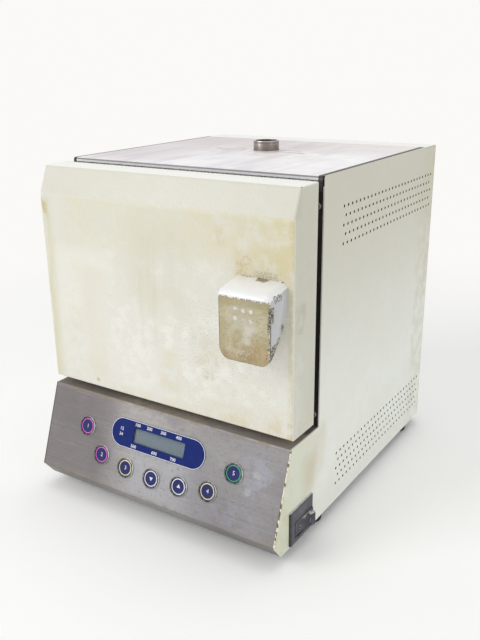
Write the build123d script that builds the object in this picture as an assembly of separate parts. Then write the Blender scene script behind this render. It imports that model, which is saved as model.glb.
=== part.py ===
from build123d import *
from math import cos, dist, hypot, radians, sin
import os

# Bench-top dental burnout furnace: a folded casing with a side-hung door, a fibre muffle with
# two side heaters, a flue stub on top and a sloping key panel with its electronics below.
# Millimetres. X is measured from the casing's middle, Y from the front edge of the side
# panels towards the back, and Z from the surface that the feet stand on. When a piece is
# written it is moved so that the origin lies under the middle of the whole furnace.

# Casing
casing_width = 300.0
casing_depth = 285.0
casing_height = 346.0
sheet = 1.2
bend_radius = 1.0
fold_gap = 0.2
flange_width = 10.0
panel_corner_radius = 3.0
top_seam = 1.0
top_apron = 14.0
rear_lap = 35.0
lap_tongue = 32.0
pan_lip = 12.0
pan_back_gap = 3.0
front_lip_rise = 2.0
flange_end_gap = 6.0
flange_foot_gap = 16.0
pan_flange_front = 46.0
pan_flange_end = 8.0

# Sloping key panel below the door, with heights above the casing's bottom edge
ledge_height = 104.3
ledge_reach = 54.1
toe_height = 16.6
toe_reach = 85.6
return_reach = 72.5
toe_flange = 22.0
ledge_tail = 8.0

# Vents in the sides and the back
vent_radius = 1.5
vent_pitch = 8.93
vent_rows = 5
vent_columns = 27
vent_start = 41.5
low_vent_height = 20.4
high_vent_height = 277.5
rear_vent_columns = 23

# Feet
foot_height = 12.0
foot_top_radius = 12.0
foot_bottom_radius = 10.8
foot_inset = 15.0
front_foot_y = 16.0
rear_foot_y = 252.0
foot_edge_radius = 0.8

# Screws
screw_radius = 1.5
screw_hole_radius = 1.7
screw_head_radius = 3.2
screw_head_height = 2.0
screw_length = 6.0
short_screw_length = 5.0
screw_slot_width = 0.7
screw_slot_depth = 0.5
screw_head_room = 0.6
edge_screw_inset = 6.5
lap_hole_y = 269.0
lap_hole_inset = 54.0
lap_hole_radius = 1.2
rear_screw_heights = (38.0, 173.0, 308.0)
frame_screw_low = 12.0
frame_screw_high = 24.0
pan_screw_y = (-38.0, 60.0, 150.0, 225.0)

# Chamber and its heaters
cavity_width = 150.0
cavity_height = 100.0
cavity_depth = 170.0
muffle_wall = 20.0
cavity_centre_height = 227.0
fibre_gap = 0.2
case_side_gap = 13.8
cap_fibre = 39.0
rear_fibre = 39.0
case_sheet = 1.0
case_setback = 3.0
pocket_depth = 8.0
pocket_height = 84.0
pocket_front = 12.0
pocket_length = 154.0
heater_radius = 2.0
heater_runs = 6
heater_pitch = 14.0
heater_clearance = 0.3
heater_end_gap = 2.5
heater_bore = 2.05
retainer_width = 6.0
retainer_thickness = 3.0
retainer_gap = 0.1
retainer_shares = (0.3, 0.7)
hearth_thickness = 6.0
hearth_gap = 3.0
hearth_setback = 10.0
hearth_depth = 155.0
hearth_corner = 3.0
bush_radius = 4.5
bush_flange_radius = 7.0
bush_flange = 3.0
bush_bore = 2.3
bush_gap = 0.15
bush_inside = 34.0
bush_outside = 8.0
terminal_size = 11.0
terminal_length = 13.0
terminal_corner = 1.0
terminal_screw_radius = 3.0
terminal_screw_height = 1.8
terminal_slot_width = 0.8
terminal_slot_depth = 0.6
probe_radius = 3.0
probe_reach = 25.0
probe_x = 40.0
probe_drop = 12.0
probe_gap = 0.4
probe_tip_radius = 2.4
probe_flange = 2.0
probe_flange_width = 34.0
probe_flange_height = 20.0
probe_head_radius = 8.0
probe_head_length = 18.0

# Flue stub
flue_radius = 14.3
flue_bore = 12.3
flue_seat_radius = 14.0
flue_seat_depth = 10.0
flue_seat_gap = 0.1
flue_proud = 10.5
flue_y = 151.0
flue_throat = 10.0
flue_gap = 0.5

# Shelf under the insulated case
shelf_drop = 8.0
shelf_skirt = 15.0
shelf_front = 10.0
shelf_rear = 276.0
shelf_foot_radius = 12.0
shelf_foot_x = 100.0
shelf_foot_front = 40.0
shelf_foot_rear = 200.0

# Door
door_gap = 11.5
door_thickness = 41.4
door_top_height = 342.8
door_bottom_height = 112.0
chamfer_depth = 11.7
chamfer_height = 27.9
door_edge_radius = 2.6
core_gap = 0.4
core_screw_room = 1.0
core_screw_gap = 0.5
core_screw_depth = 12.0
plug_margin = 3.0
plug_reach = 6.0
plug_flange_width = 200.0
plug_flange_height = 150.0
plug_screw_inset = 3.4
plug_screw_bite = 3.0
plug_chamfer = 3.0
gasket_thickness = 4.0
gasket_width = 15.0
gasket_inset = 2.0
gasket_corner = 8.0
gasket_inner_corner = 4.0
gasket_gap = 0.3

# Handle, a hood that is open below
handle_width = 51.0
handle_edge_gap = 5.5
handle_depth = 31.6
handle_wall = 4.0
handle_root_top = 262.5
handle_root_bottom = 233.0
handle_nose_top = 253.5
handle_nose_bottom = 194.5
handle_top_radius = 8.5
handle_lip_radius = 3.0
handle_chin_radius = 14.0
handle_edge_radius = 5.0
handle_room_radius = 3.0
handle_screw_spread = 30.0
handle_screw_drop = 7.0
handle_skin = 0.5
handle_screw_gap = 0.3

# Hinges
hinge_offset_x = 4.5
hinge_gap = 0.5
knuckle_radius = 4.5
pin_radius = 1.5
pin_clearance = 0.06
hinge_height = 42.0
knuckle_gap = 0.4
knuckle_share = 0.34
leaf_thickness = 1.5
leaf_width = 26.0
leaf_web = 4.0
leaf_start_gap = 1.0
leaf_screw_inset = 6.0
leaf_screw_spread = 26.0
hinge_centres = (154.0, 304.0)
pin_head_height = 1.6
pin_head_radius = 2.6
pin_tail = 1.0

# Magnet catch and door switch
magnet_width = 18.0
magnet_height = 34.0
magnet_inset = 23.0
magnet_gap = 0.5
magnet_corner = 2.0
striker_thickness = 1.5
striker_width = 16.0
striker_height = 30.0
striker_ear = 12.0
door_switch_x = 60.0
door_switch_rise = 1.0
door_switch_size = 14.0
door_switch_width = 22.0
door_switch_depth = 9.0
door_switch_corner = 1.5
door_switch_floor = 0.6
plunger_radius = 2.5
plunger_clearance = 0.08
plunger_tip_radius = 0.9
plunger_grip = 3.6
plunger_travel = 3.0

# Display and keys, placed by their distance down the slope from its top edge
label_width = 121.0
label_height = 30.7
label_thickness = 0.4
label_x = -0.7
label_down = 31.7
window_width = 65.4
window_height = 15.5
window_x = 1.4
window_corner = 1.0
lens_border = 1.6
lens_gap = 0.2
lcd_width = 80.0
lcd_height = 36.0
lcd_thickness = 8.4
lcd_gap = 0.4
lcd_glass = 0.6
lcd_frame_width = 71.5
lcd_frame_height = 26.5
lcd_frame_chamfer = 0.8
bezel_radius = 10.65
bezel_proud = 1.6
bezel_bore = 8.7
bezel_edge_radius = 0.9
bezel_neck_radius = 9.6
bezel_neck_length = 7.1
bezel_nut_radius = 11.0
bezel_nut_height = 2.2
bezel_hole_clearance = 0.2
thread_gap = 0.05
cap_clearance = 0.3
cap_proud = 2.4
cap_dish = 0.3
cap_rim = 1.6
cap_edge_radius = 0.7
cap_flange_radius = 9.4
cap_flange_height = 1.0
cap_stem_radius = 2.5
key_travel = 1.0
key_slack = 0.2
board_depth = 17.6
board_thickness = 1.6
key_switch_size = 12.0
key_switch_height = 3.4
key_switch_corner = 1.0
key_actuator_radius = 1.75
key_actuator_height = 0.8
end_key_x = 94.4
end_key_down = 37.2
arc_radius = 350.0
arc_pitch = 34.8
arc_low = 69.1
arc_keys = 5
panel_board_width = 224.0
panel_board_top = 9.0
panel_board_bottom = 81.0
panel_post_x = 106.5
panel_post_margin = 5.0
chip_height = 3.0
panel_chips = ((-28.0, 21.0, 18.0, 9.0), (30.0, 21.0, 14.0, 9.0), (0.0, 4.0, 24.0, 12.0))
post_radius = 3.0

# Power switch in the right side panel
bezel_plate_length = 45.4
bezel_plate_height = 37.4
bezel_plate_proud = 1.5
bezel_plate_y = -35.0
bezel_plate_centre_height = 19.9
bezel_plate_corner = 2.0
bezel_plate_edge = 0.6
rocker_y = -30.5
rocker_centre_height = 14.5
rocker_height = 15.0
rocker_radius = 16.0
rocker_tip = 6.5
rocker_valley = 4.2
rocker_depth = 6.0
rocker_root = 5.0
rocker_hip_inset = 0.4
rocker_tip_edge = 1.2
rocker_side_gap = 0.3
rocker_tilt = 12.0
rocker_pivot_depth = 1.5
rocker_pin_radius = 1.5
rocker_pin_clearance = 0.06
rocker_pin_reach = 1.3
switch_wall = 1.6
switch_depth = 24.0
switch_cavity = 10.0
switch_cutout_gap = 0.3
tab_length = 8.0
tab_width = 4.8
tab_thickness = 0.8
tab_spread = 8.0

# Electronics on the base pan
post_height = 10.0
main_board_inset = 15.0
main_board_width = 150.0
main_board_front = 30.0
main_board_depth = 100.0
main_post_margin = 6.0
round_parts = ((20.0, 25.0, 8.0, 26.0), (40.0, 25.0, 8.0, 26.0), (17.0, 50.0, 5.0, 14.0))
square_parts = (
    (75.0, 70.0, 34.0, 14.0, 4.0), (115.0, 30.0, 20.0, 20.0, 3.0), (60.0, 30.0, 16.0, 20.0, 15.0),
    (85.0, 30.0, 16.0, 20.0, 15.0), (35.0, 87.0, 40.0, 9.0, 10.0), (135.0, 70.0, 9.0, 40.0, 9.0),
)
transformer_gap = 15.0
transformer_y = 88.0
core_width = 66.0
core_depth = 28.0
core_height = 54.5
core_side = 11.0
core_foot = 10.5
core_window_height = 33.0
core_leg_width = 22.0
bobbin_depth = 48.0
bobbin_gap = 0.5
bobbin_corner = 6.0
bracket_width = 84.0
bracket_thickness = 1.5
relay_offset = 2.0
relay_y = 202.0
relay_width = 58.0
relay_depth = 45.0
relay_height = 23.0
relay_corner = 3.0
relay_step_width = 11.0
relay_step_depth = 36.0
relay_step_drop = 6.0
relay_pad_radius = 4.0
relay_pad_height = 2.4
relay_pad_spread = 20.0
strip_inset = 40.0
strip_y = 226.0
strip_length = 56.0
strip_depth = 20.0
strip_low_height = 9.0
strip_height = 17.0
strip_core = 11.0
strip_ways = 4
strip_wall = 2.0
gland_height = 33.0
gland_bore = 3.6
gland_hex_radius = 9.8
gland_thread_radius = 6.0
gland_hole_gap = 0.15
gland_nut_height = 5.0
gland_dome_radius = 8.0
gland_dome_edge = 3.0
gland_proud = 14.0
gland_inside = 15.0

# How far a cut runs past the face it opens, and how near two places count as one
overcut = 1.0
touch = 0.01
least_fillet = 0.2

# Places worked out from the sizes above
half_width = casing_width / 2
base_z = foot_height
top_z = base_z + casing_height
ledge_z = base_z + ledge_height
toe_z = base_z + toe_height
panel_inner = half_width - sheet
pan_top = base_z + sheet
frame_front = sheet + fold_gap
frame_back = frame_front + sheet
frame_top = top_z - sheet - 2 * fold_gap - sheet
cavity_z = base_z + cavity_centre_height
muffle_width = cavity_width + 2 * muffle_wall
muffle_height = cavity_height + 2 * muffle_wall
muffle_depth = cavity_depth + muffle_wall
muffle_top = cavity_z + muffle_height / 2
fibre_back = muffle_depth + fibre_gap + rear_fibre
fibre_half_height = muffle_height / 2 + cap_fibre
case_half_width = panel_inner - case_side_gap
fibre_half_width = case_half_width - case_sheet
case_half_height = fibre_half_height + case_sheet
case_back = fibre_back + case_sheet
case_bottom = cavity_z - case_half_height
heater_x = cavity_width / 2 + pocket_depth - heater_clearance - heater_radius
heater_front = pocket_front + heater_pitch / 2 + heater_radius + heater_end_gap
heater_back = pocket_front + pocket_length - heater_pitch / 2 - heater_radius - heater_end_gap
lead_z = [cavity_z + side * heater_pitch * (heater_runs - 1) / 2 for side in (-1, 1)]
bush_front = case_back - bush_inside
bush_end = case_back + bush_outside
lead_end = bush_end + terminal_length
probe_z = cavity_z + cavity_height / 2 - probe_drop
flue_top = top_z + flue_proud
door_back = -door_gap
door_front = door_back - door_thickness
door_top = base_z + door_top_height
door_bottom = base_z + door_bottom_height
plug_width = cavity_width - 2 * plug_margin
plug_height = cavity_height - 2 * plug_margin
plug_flange_front = -gasket_thickness - gasket_gap
handle_front = door_front - handle_depth
handle_centre_x = half_width - handle_edge_gap - handle_width / 2
handle_screw_z = base_z + handle_root_top - handle_screw_drop
hinge_x = -half_width + hinge_offset_x
hinge_y = door_back + hinge_gap + knuckle_radius
magnet_x = half_width - magnet_inset
catch_z = cavity_z
seal_reach = max(plug_flange_height, muffle_height) / 2
seal_top = cavity_z + seal_reach
door_switch_z = (seal_top + top_z - top_apron) / 2 + door_switch_rise
main_board_x = (main_board_inset - half_width, main_board_inset - half_width + main_board_width)
main_board_y = (main_board_front, main_board_front + main_board_depth)
transformer_x = main_board_x[1] + transformer_gap + bracket_width / 2
relay_x = transformer_x + relay_offset
strip_x = strip_inset - half_width
gland_x = strip_x
rocker_pivot_x = half_width - rocker_pivot_depth
rocker_z = base_z + rocker_centre_height
front_reach = max(toe_reach, -handle_front)
rear_reach = casing_depth + gland_proud
side_reach = rocker_pivot_x + rocker_tip * cos(radians(rocker_tilt)) + \
    (rocker_radius ** 2 - rocker_tip ** 2) ** 0.5 * sin(radians(rocker_tilt))
origin_x = (side_reach - half_width) / 2
origin_y = (rear_reach - front_reach) / 2
slope_length = hypot(toe_reach - ledge_reach, ledge_z - toe_z)
slope_plane = Plane(
    origin=(0, -ledge_reach, ledge_z),
    x_dir=(1, 0, 0),
    z_dir=(0, -(ledge_z - toe_z) / slope_length, (toe_reach - ledge_reach) / slope_length),
)
MIN = (Align.MIN, Align.MIN, Align.MIN)
RISE = (Align.CENTER, Align.CENTER, Align.MIN)


# Helpers

def slab(x, y, z):
    """A box between two limits on each axis."""
    return Pos(x[0], y[0], z[0]) * Box(x[1] - x[0], y[1] - y[0], z[1] - z[0], align=MIN)


def mid_slab(centre, size):
    """A box of a size round its centre."""
    return Pos(*centre) * Box(*size)


def upright(radius, x, y, z):
    """A cylinder that stands between two heights."""
    return Pos(x, y, z[0]) * Cylinder(radius, z[1] - z[0], align=RISE)


def lengthwise(radius, x, z, y):
    """A cylinder that runs from front to back between two y limits."""
    return Pos(x, y[0], z) * Rot(-90, 0, 0) * Cylinder(radius, y[1] - y[0], align=RISE)


def moved_in(points, distance, closed=False):
    """The corners of an outline moved to its left by a distance, with mitred corners."""
    ends = points[1:] + points[:1] if closed else points[1:]
    runs = [(Vector(*b) - Vector(*a)).normalized() for a, b in zip(points, ends)]
    moved = []
    for index, point in enumerate(points):
        before = runs[index - 1] if closed or index else runs[0]
        after = runs[index] if index < len(runs) else runs[-1]
        left = Vector(-before.Y - after.Y, before.X + after.X)
        shift = left * (distance / (1 + before.dot(after)))
        moved.append((point[0] + shift.X, point[1] + shift.Y))
    return moved


def prism(points, x):
    """A solid of a side outline, given as (y, z) points, between two x limits."""
    face = make_face(Polyline(*points, close=True))
    return Pos(x[0], 0, 0) * extrude(Plane.YZ * face, x[1] - x[0], dir=(1, 0, 0))


def folded(line, x, gauge=sheet):
    """A folded sheet whose outer line has its inside on the left, with rounded bends."""
    inner = moved_in(line, gauge)
    face = make_face(Polyline(*line, *reversed(inner), close=True))
    for points, radius in ((line, bend_radius + gauge), (inner, bend_radius)):
        for point in points[1:-1]:
            corner = face.vertices().sort_by_distance((point[0], point[1], 0))[0]
            face = fillet(corner, radius)
    return Pos(x[0], 0, 0) * extrude(Plane.YZ * face, x[1] - x[0], dir=(1, 0, 0))


def on_slope(shape, x, down, out=0.0):
    """A shape placed on the key panel: across it, down it and out from its face."""
    return slope_plane.location * Pos(x, -down, out) * shape


def screw(radius=screw_radius, length=screw_length):
    """A pan-head screw whose head stands on the XY plane and whose shank points down."""
    head = Cylinder(screw_head_radius, screw_head_height, align=RISE)
    head = fillet(head.edges().sort_by(Axis.Z)[-1], screw_head_height * 0.45)
    slot = Box(screw_head_radius, screw_slot_width, 2 * screw_slot_depth)
    slot += Box(screw_slot_width, screw_head_radius, 2 * screw_slot_depth)
    shank = Pos(0, 0, -length) * Cylinder(radius, length, align=RISE)
    return head + shank - Pos(0, 0, screw_head_height) * slot


def screws(places, turn, length=screw_length):
    """Screws at a list of (x, y, z) seats, all turned the same way."""
    return [Pos(*place) * Rot(*turn) * screw(length=length) for place in places]


def drilled(body, places, turn, radius=screw_hole_radius):
    """A body with a clearance hole for each screw seat."""
    drill = Cylinder(radius, 4 * screw_length)
    return body - [Pos(*place) * Rot(*turn) * drill for place in places]


HEAD_UP = (0, 0, 0)
HEAD_DOWN = (180, 0, 0)
HEAD_FRONT = (90, 0, 0)
HEAD_BACK = (-90, 0, 0)


# Places that repeat

def grid(columns, rows, start, low):
    """Staggered vent centres: every second row has one hole less and starts half a pitch on."""
    places = []
    for row in range(rows):
        odd = row % 2
        for column in range(columns - odd):
            places.append((start + (column + odd / 2) * vent_pitch, low + row * vent_pitch))
    return places


def side_vents():
    """The two bands of vents in a side panel, as (y, z)."""
    bands = (base_z + low_vent_height, base_z + high_vent_height)
    return [place for low in bands for place in grid(vent_columns, vent_rows, vent_start, low)]


def rear_vents():
    """The upper band of vents in the back, as (x, z)."""
    start = -vent_pitch * (rear_vent_columns - 1) / 2
    return grid(rear_vent_columns, vent_rows, start, base_z + high_vent_height)


def key_places():
    """The keys from left to right, as (x, distance down the slope)."""
    arc = []
    for step in range(arc_keys):
        angle = (step - (arc_keys - 1) / 2) * arc_pitch / arc_radius
        arc.append((arc_radius * sin(angle), arc_low - arc_radius * (1 - cos(angle))))
    return [(-end_key_x, end_key_down), *arc, (end_key_x, end_key_down)]


def foot_places():
    """The feet's centres as (x, y)."""
    reach = half_width - foot_inset
    return [(x, y) for x in (-reach, reach) for y in (front_foot_y, rear_foot_y)]


foot_screws = [(x, y, pan_top) for x, y in foot_places()]
lap_holes = [(half_width - lap_hole_inset, lap_hole_y, top_z)]
rear_screws = [
    (side * (half_width - edge_screw_inset), casing_depth, base_z + height)
    for side in (-1, 1)
    for height in rear_screw_heights
]
frame_screws = [
    (side * (half_width - edge_screw_inset), frame_front, z)
    for side in (-1, 1)
    for z in (ledge_z + frame_screw_low, frame_top - frame_screw_high)
]
pan_screws = [
    (side * (half_width - edge_screw_inset), y, base_z)
    for side in (-1, 1)
    for y in pan_screw_y
]
handle_screws = [
    (handle_centre_x + side * handle_screw_spread / 2, door_front + sheet, handle_screw_z)
    for side in (-1, 1)
]
leaf_screws = [
    (hinge_x + leaf_width - leaf_screw_inset, door_back + leaf_thickness,
     centre + side * leaf_screw_spread / 2)
    for centre in hinge_centres
    for side in (-1, 1)
]
plug_screws = [
    (side * (plug_flange_width / 2 - plug_screw_inset), plug_flange_front,
     cavity_z + lift * (plug_flange_height / 2 - plug_screw_inset))
    for side in (-1, 1)
    for lift in (-1, 1)
]
striker_screws = [
    (magnet_x, door_back + striker_thickness,
     catch_z + side * (striker_height + striker_ear) / 2)
    for side in (-1, 1)
]


# Casing

def side_panel():
    """The right-hand side panel with its vents and in-turned flanges."""
    shoulder = top_z - sheet - fold_gap
    back = casing_depth - sheet - fold_gap
    lap_front = casing_depth - rear_lap - fold_gap
    outline = [
        (0, top_z), (0, ledge_z), (-ledge_reach, ledge_z), (-toe_reach, toe_z),
        (-return_reach, base_z), (back, base_z), (back, shoulder), (lap_front, shoulder),
        (lap_front, top_z),
    ]
    face = make_face(Polyline(*outline, close=True))
    face = fillet(face.vertices().sort_by_distance((0, top_z, 0))[0], panel_corner_radius)
    face -= [Pos(y, z) * Circle(vent_radius) for y, z in side_vents()]
    plate = Pos(panel_inner, 0, 0) * extrude(Plane.YZ * face, sheet, dir=(1, 0, 0))
    inner = (panel_inner - flange_width, panel_inner)
    lip = frame_back + fold_gap
    plate += slab(inner, (lip, lip + sheet), (ledge_z + front_lip_rise, frame_top - flange_end_gap))
    plate += slab(inner, (back - sheet, back),
                  (base_z + flange_foot_gap, shoulder - flange_end_gap))
    pan_seat = pan_top + fold_gap
    plate += slab(inner, (-pan_flange_front, back - pan_flange_end), (pan_seat, pan_seat + sheet))
    plate = drilled(plate, [p for p in frame_screws if p[0] > 0], HEAD_FRONT)
    plate = drilled(plate, [p for p in rear_screws if p[0] > 0], HEAD_BACK)
    plate = drilled(plate, [p for p in pan_screws if p[0] > 0], HEAD_DOWN)
    head_room = screw_head_radius + screw_head_room
    return drilled(plate, [p for p in foot_screws if p[0] > 0], HEAD_UP, head_room)


def right_side_panel():
    """The right side panel with the power switch's cut-out."""
    reach = rocker_radius + rocker_side_gap + switch_wall + switch_cutout_gap
    rise = rocker_height / 2 + rocker_side_gap + switch_wall + switch_cutout_gap
    cutout = mid_slab((half_width, rocker_y, rocker_z), (4 * sheet, 2 * reach, 2 * rise))
    return side_panel() - cutout


def left_side_panel():
    """The left side panel, a mirror of the right one without a cut-out."""
    return mirror(side_panel(), Plane.YZ)


def rear_panel():
    """The back with its vents, the gland's hole and the flange that laps over the top plate."""
    plate = Pos(0, casing_depth - sheet, 0) * slab(
        (-half_width, half_width), (0, sheet), (base_z, top_z))
    through = (casing_depth - 2 * sheet, casing_depth + sheet)
    plate -= [lengthwise(vent_radius, x, z, through) for x, z in rear_vents()]
    lap_y = (casing_depth - rear_lap, casing_depth)
    lap = slab((-half_width, half_width), lap_y, (top_z - sheet, top_z))
    body = plate + lap
    edge = [e for e in body.edges()
            if dist((e.center().Y, e.center().Z), (casing_depth, top_z)) < touch]
    body = fillet(edge, bend_radius + sheet)
    body -= lengthwise(gland_thread_radius + gland_hole_gap, gland_x, base_z + gland_height, through)
    return drilled(drilled(body, rear_screws, HEAD_BACK), lap_holes, HEAD_UP, lap_hole_radius)


def top_plate():
    """The bare steel top with its folded front apron and the tongue under the rear lap."""
    reach = panel_inner - top_seam
    lap = casing_depth - rear_lap - fold_gap
    plate = folded([(lap, top_z), (0, top_z), (0, top_z - top_apron)], (-reach, reach))
    tongue_top = top_z - sheet - fold_gap
    tongue = slab((-reach, reach), (lap - sheet, lap + lap_tongue), (tongue_top - sheet, tongue_top))
    step = slab((-reach, reach), (lap - sheet, lap), (tongue_top - sheet, top_z))
    hole = upright(flue_radius + flue_gap, 0, flue_y, (top_z - 2 * sheet, top_z + sheet))
    return drilled(plate + tongue + step - hole, lap_holes, HEAD_UP, lap_hole_radius)


def base_pan():
    """The floor of the casing with folded lips at the front and the back."""
    reach = panel_inner - fold_gap
    front = -return_reach + toe_flange + fold_gap
    back = casing_depth - sheet - pan_back_gap
    line = [(front, base_z + pan_lip), (front, base_z), (back, base_z), (back, base_z + pan_lip)]
    pan = folded(line, (-reach, reach))
    pan = drilled(pan, pan_screws, HEAD_DOWN)
    return drilled(pan, foot_screws, HEAD_UP)


def control_fascia():
    """The bare steel key panel: ledge, slope, toe and bottom flange in one folded sheet."""
    reach = panel_inner - fold_gap
    back = -return_reach + toe_flange
    line = [
        (ledge_tail, ledge_z), (-ledge_reach, ledge_z), (-toe_reach, toe_z),
        (-return_reach, base_z), (back, base_z), (back, base_z + pan_lip),
    ]
    body = folded(line, (-reach, reach))
    opening = Box(window_width + 2 * lens_border, window_height + 2 * lens_border, 4 * sheet)
    body -= on_slope(opening, window_x, label_down)
    hole = Cylinder(bezel_neck_radius + bezel_hole_clearance, 4 * sheet)
    return body - [on_slope(hole, x, down) for x, down in key_places()]


def front_frame():
    """The plate behind the door with the chamber's opening in it."""
    reach = panel_inner - fold_gap
    plate = slab((-reach, reach), (frame_front, frame_back), (ledge_z + fold_gap, frame_top))
    mouth = mid_slab(
        (0, frame_back, cavity_z),
        (muffle_width + 2 * fibre_gap, 4 * sheet, muffle_height + 2 * fibre_gap))
    return drilled(plate - mouth, frame_screws, HEAD_FRONT)


def support_shelf():
    """The shelf between the side panels with four pressed feet that carry the hot case."""
    reach = panel_inner - fold_gap
    top = case_bottom - shelf_drop + sheet
    shelf = slab((-reach, reach), (shelf_front, shelf_rear), (top - sheet, top))
    for side in (-1, 1):
        wall = sorted((side * reach, side * (reach - sheet)))
        shelf += slab(wall, (shelf_front, shelf_rear), (top - shelf_skirt, top))
        for y in (shelf_foot_front, shelf_foot_rear):
            shelf += upright(shelf_foot_radius, side * shelf_foot_x, y, (top, case_bottom))
    return shelf


def rubber_feet():
    """Four tapered rubber feet."""
    foot = Cone(foot_bottom_radius, foot_top_radius, foot_height, align=RISE)
    foot -= Pos(0, 0, foot_height) * Cylinder(screw_radius + thread_gap, 2 * screw_length)
    foot = fillet(foot.edges().sort_by(Axis.Z)[0], foot_edge_radius)
    return [Pos(x, y, 0) * foot for x, y in foot_places()]


def casing_screws():
    """The screws that hold the casing together, and the feet's."""
    return (
        screws(foot_screws, HEAD_UP)
        + screws(rear_screws, HEAD_BACK, short_screw_length)
        + screws(frame_screws, HEAD_FRONT, short_screw_length)
        + screws(pan_screws, HEAD_DOWN, short_screw_length)
    )


# Chamber

def muffle():
    """The ceramic chamber with a pocket for each heater, the flue's throat and the lead holes."""
    body = mid_slab((0, muffle_depth / 2, cavity_z), (muffle_width, muffle_depth, muffle_height))
    body -= mid_slab((0, cavity_depth / 2, cavity_z), (cavity_width, cavity_depth, cavity_height))
    pocket_y = (pocket_front, pocket_front + pocket_length)
    reach = cavity_width / 2 + pocket_depth
    pocket_z = (cavity_z - pocket_height / 2, cavity_z + pocket_height / 2)
    body -= slab((-reach, reach), pocket_y, pocket_z)
    body -= upright(flue_throat, 0, flue_y, (cavity_z, muffle_top + overcut))
    seat = (muffle_top - flue_seat_depth, muffle_top + overcut)
    body -= upright(flue_seat_radius + flue_seat_gap, 0, flue_y, seat)
    behind = (cavity_depth - muffle_wall, muffle_depth + overcut)
    body -= [lengthwise(heater_radius + heater_clearance, side * heater_x, z, behind)
             for side in (-1, 1) for z in lead_z]
    return body - lengthwise(probe_radius + probe_gap, probe_x, probe_z, behind)


def hearth_plate():
    """The loose ceramic plate on the chamber's floor."""
    floor = cavity_z - cavity_height / 2
    reach = cavity_width / 2 - hearth_gap
    plate = slab((-reach, reach), (hearth_setback, hearth_setback + hearth_depth),
                 (floor, floor + hearth_thickness))
    return fillet(plate.edges().filter_by(Axis.Z), hearth_corner)


def heater():
    """The right-hand heater: one rod that runs to and fro and leaves through the back."""
    turn = heater_pitch / 2
    lines = []
    top = lead_z[1]
    for run in range(heater_runs):
        z = top - run * heater_pitch
        first, last = run == 0, run == heater_runs - 1
        back = lead_end if first or last else heater_back
        ends = [(0, back, z), (0, heater_front, z)]
        lines.append(Line(*ends if run % 2 == 0 else reversed(ends)))
        if not last:
            y, side = (heater_front, -turn) if run % 2 == 0 else (heater_back, turn)
            lines.append(ThreePointArc((0, y, z), (0, y + side, z - turn), (0, y, z - 2 * turn)))
    path = Wire(lines)
    section = Plane(path @ 0, z_dir=path % 0) * Circle(heater_radius)
    return Pos(heater_x, 0, 0) * sweep(section, path=path)


def heater_retainers():
    """Notched ceramic bars that keep the rods in their pockets."""
    bars = []
    face = heater_x - heater_radius - retainer_gap
    reach = pocket_height / 2 - retainer_gap
    for side in (-1, 1):
        x = sorted((side * face, side * (face - retainer_thickness)))
        for share in retainer_shares:
            y = pocket_front + share * pocket_length
            bars.append(slab(x, (y - retainer_width / 2, y + retainer_width / 2),
                             (cavity_z - reach, cavity_z + reach)))
    return bars


def flue_hole(body, low, high):
    """A body with the flue's way through it between two heights."""
    return body - upright(flue_seat_radius + fibre_gap, 0, flue_y, (low, high))


def fibre_front():
    """Where the fibre blocks begin, just behind the front frame."""
    return frame_back + 2 * fold_gap + case_setback - sheet


def insulation_top():
    """The fibre block over the chamber, with the flue's hole."""
    z = (muffle_top + fibre_gap, cavity_z + fibre_half_height)
    block = slab((-fibre_half_width, fibre_half_width), (fibre_front(), fibre_back), z)
    return flue_hole(block, z[0] - overcut, z[1] + overcut)


def insulation_bottom():
    """The fibre block under the chamber."""
    return slab((-fibre_half_width, fibre_half_width), (fibre_front(), fibre_back),
                (cavity_z - fibre_half_height, cavity_z - muffle_height / 2))


def insulation_sides():
    """The two fibre blocks beside the chamber."""
    z = (cavity_z - muffle_height / 2 + fibre_gap / 2, muffle_top)
    near = muffle_width / 2 + fibre_gap
    return [slab(sorted((side * near, side * fibre_half_width)), (fibre_front(), muffle_depth), z)
            for side in (-1, 1)]


def insulation_rear():
    """The fibre block behind the chamber, with the leads' and the probe's holes."""
    z = (cavity_z - muffle_height / 2 + fibre_gap / 2, muffle_top)
    block = slab((-fibre_half_width, fibre_half_width), (muffle_depth + fibre_gap, fibre_back), z)
    through = (muffle_depth - overcut, fibre_back + overcut)
    block -= [lengthwise(bush_radius + bush_gap, side * heater_x, z_lead, through)
              for side in (-1, 1) for z_lead in lead_z]
    return block - lengthwise(probe_radius + probe_gap, probe_x, probe_z, through)


def inner_case():
    """The thin steel case round the fibre blocks, open at the front."""
    front = fibre_front()
    outer = slab((-case_half_width, case_half_width), (front, case_back),
                 (case_bottom, cavity_z + case_half_height))
    room = slab((-fibre_half_width, fibre_half_width), (front - overcut, fibre_back),
                (cavity_z - fibre_half_height, cavity_z + fibre_half_height))
    case = flue_hole(outer - room, cavity_z + fibre_half_height - overcut, top_z)
    through = (fibre_back - overcut, case_back + overcut)
    case -= [lengthwise(bush_radius + bush_gap, side * heater_x, z, through)
             for side in (-1, 1) for z in lead_z]
    return case - lengthwise(probe_radius + probe_gap, probe_x, probe_z, through)


def lead_bushes():
    """Flanged ceramic tubes that bring the heater's leads through the case."""
    bushes = []
    for side in (-1, 1):
        for z in lead_z:
            x = side * heater_x
            tube = lengthwise(bush_radius, x, z, (bush_front, bush_end))
            tube += lengthwise(bush_flange_radius, x, z, (case_back, case_back + bush_flange))
            bushes.append(tube - lengthwise(bush_bore, x, z, (bush_front - overcut, bush_end + overcut)))
    return bushes


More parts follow.
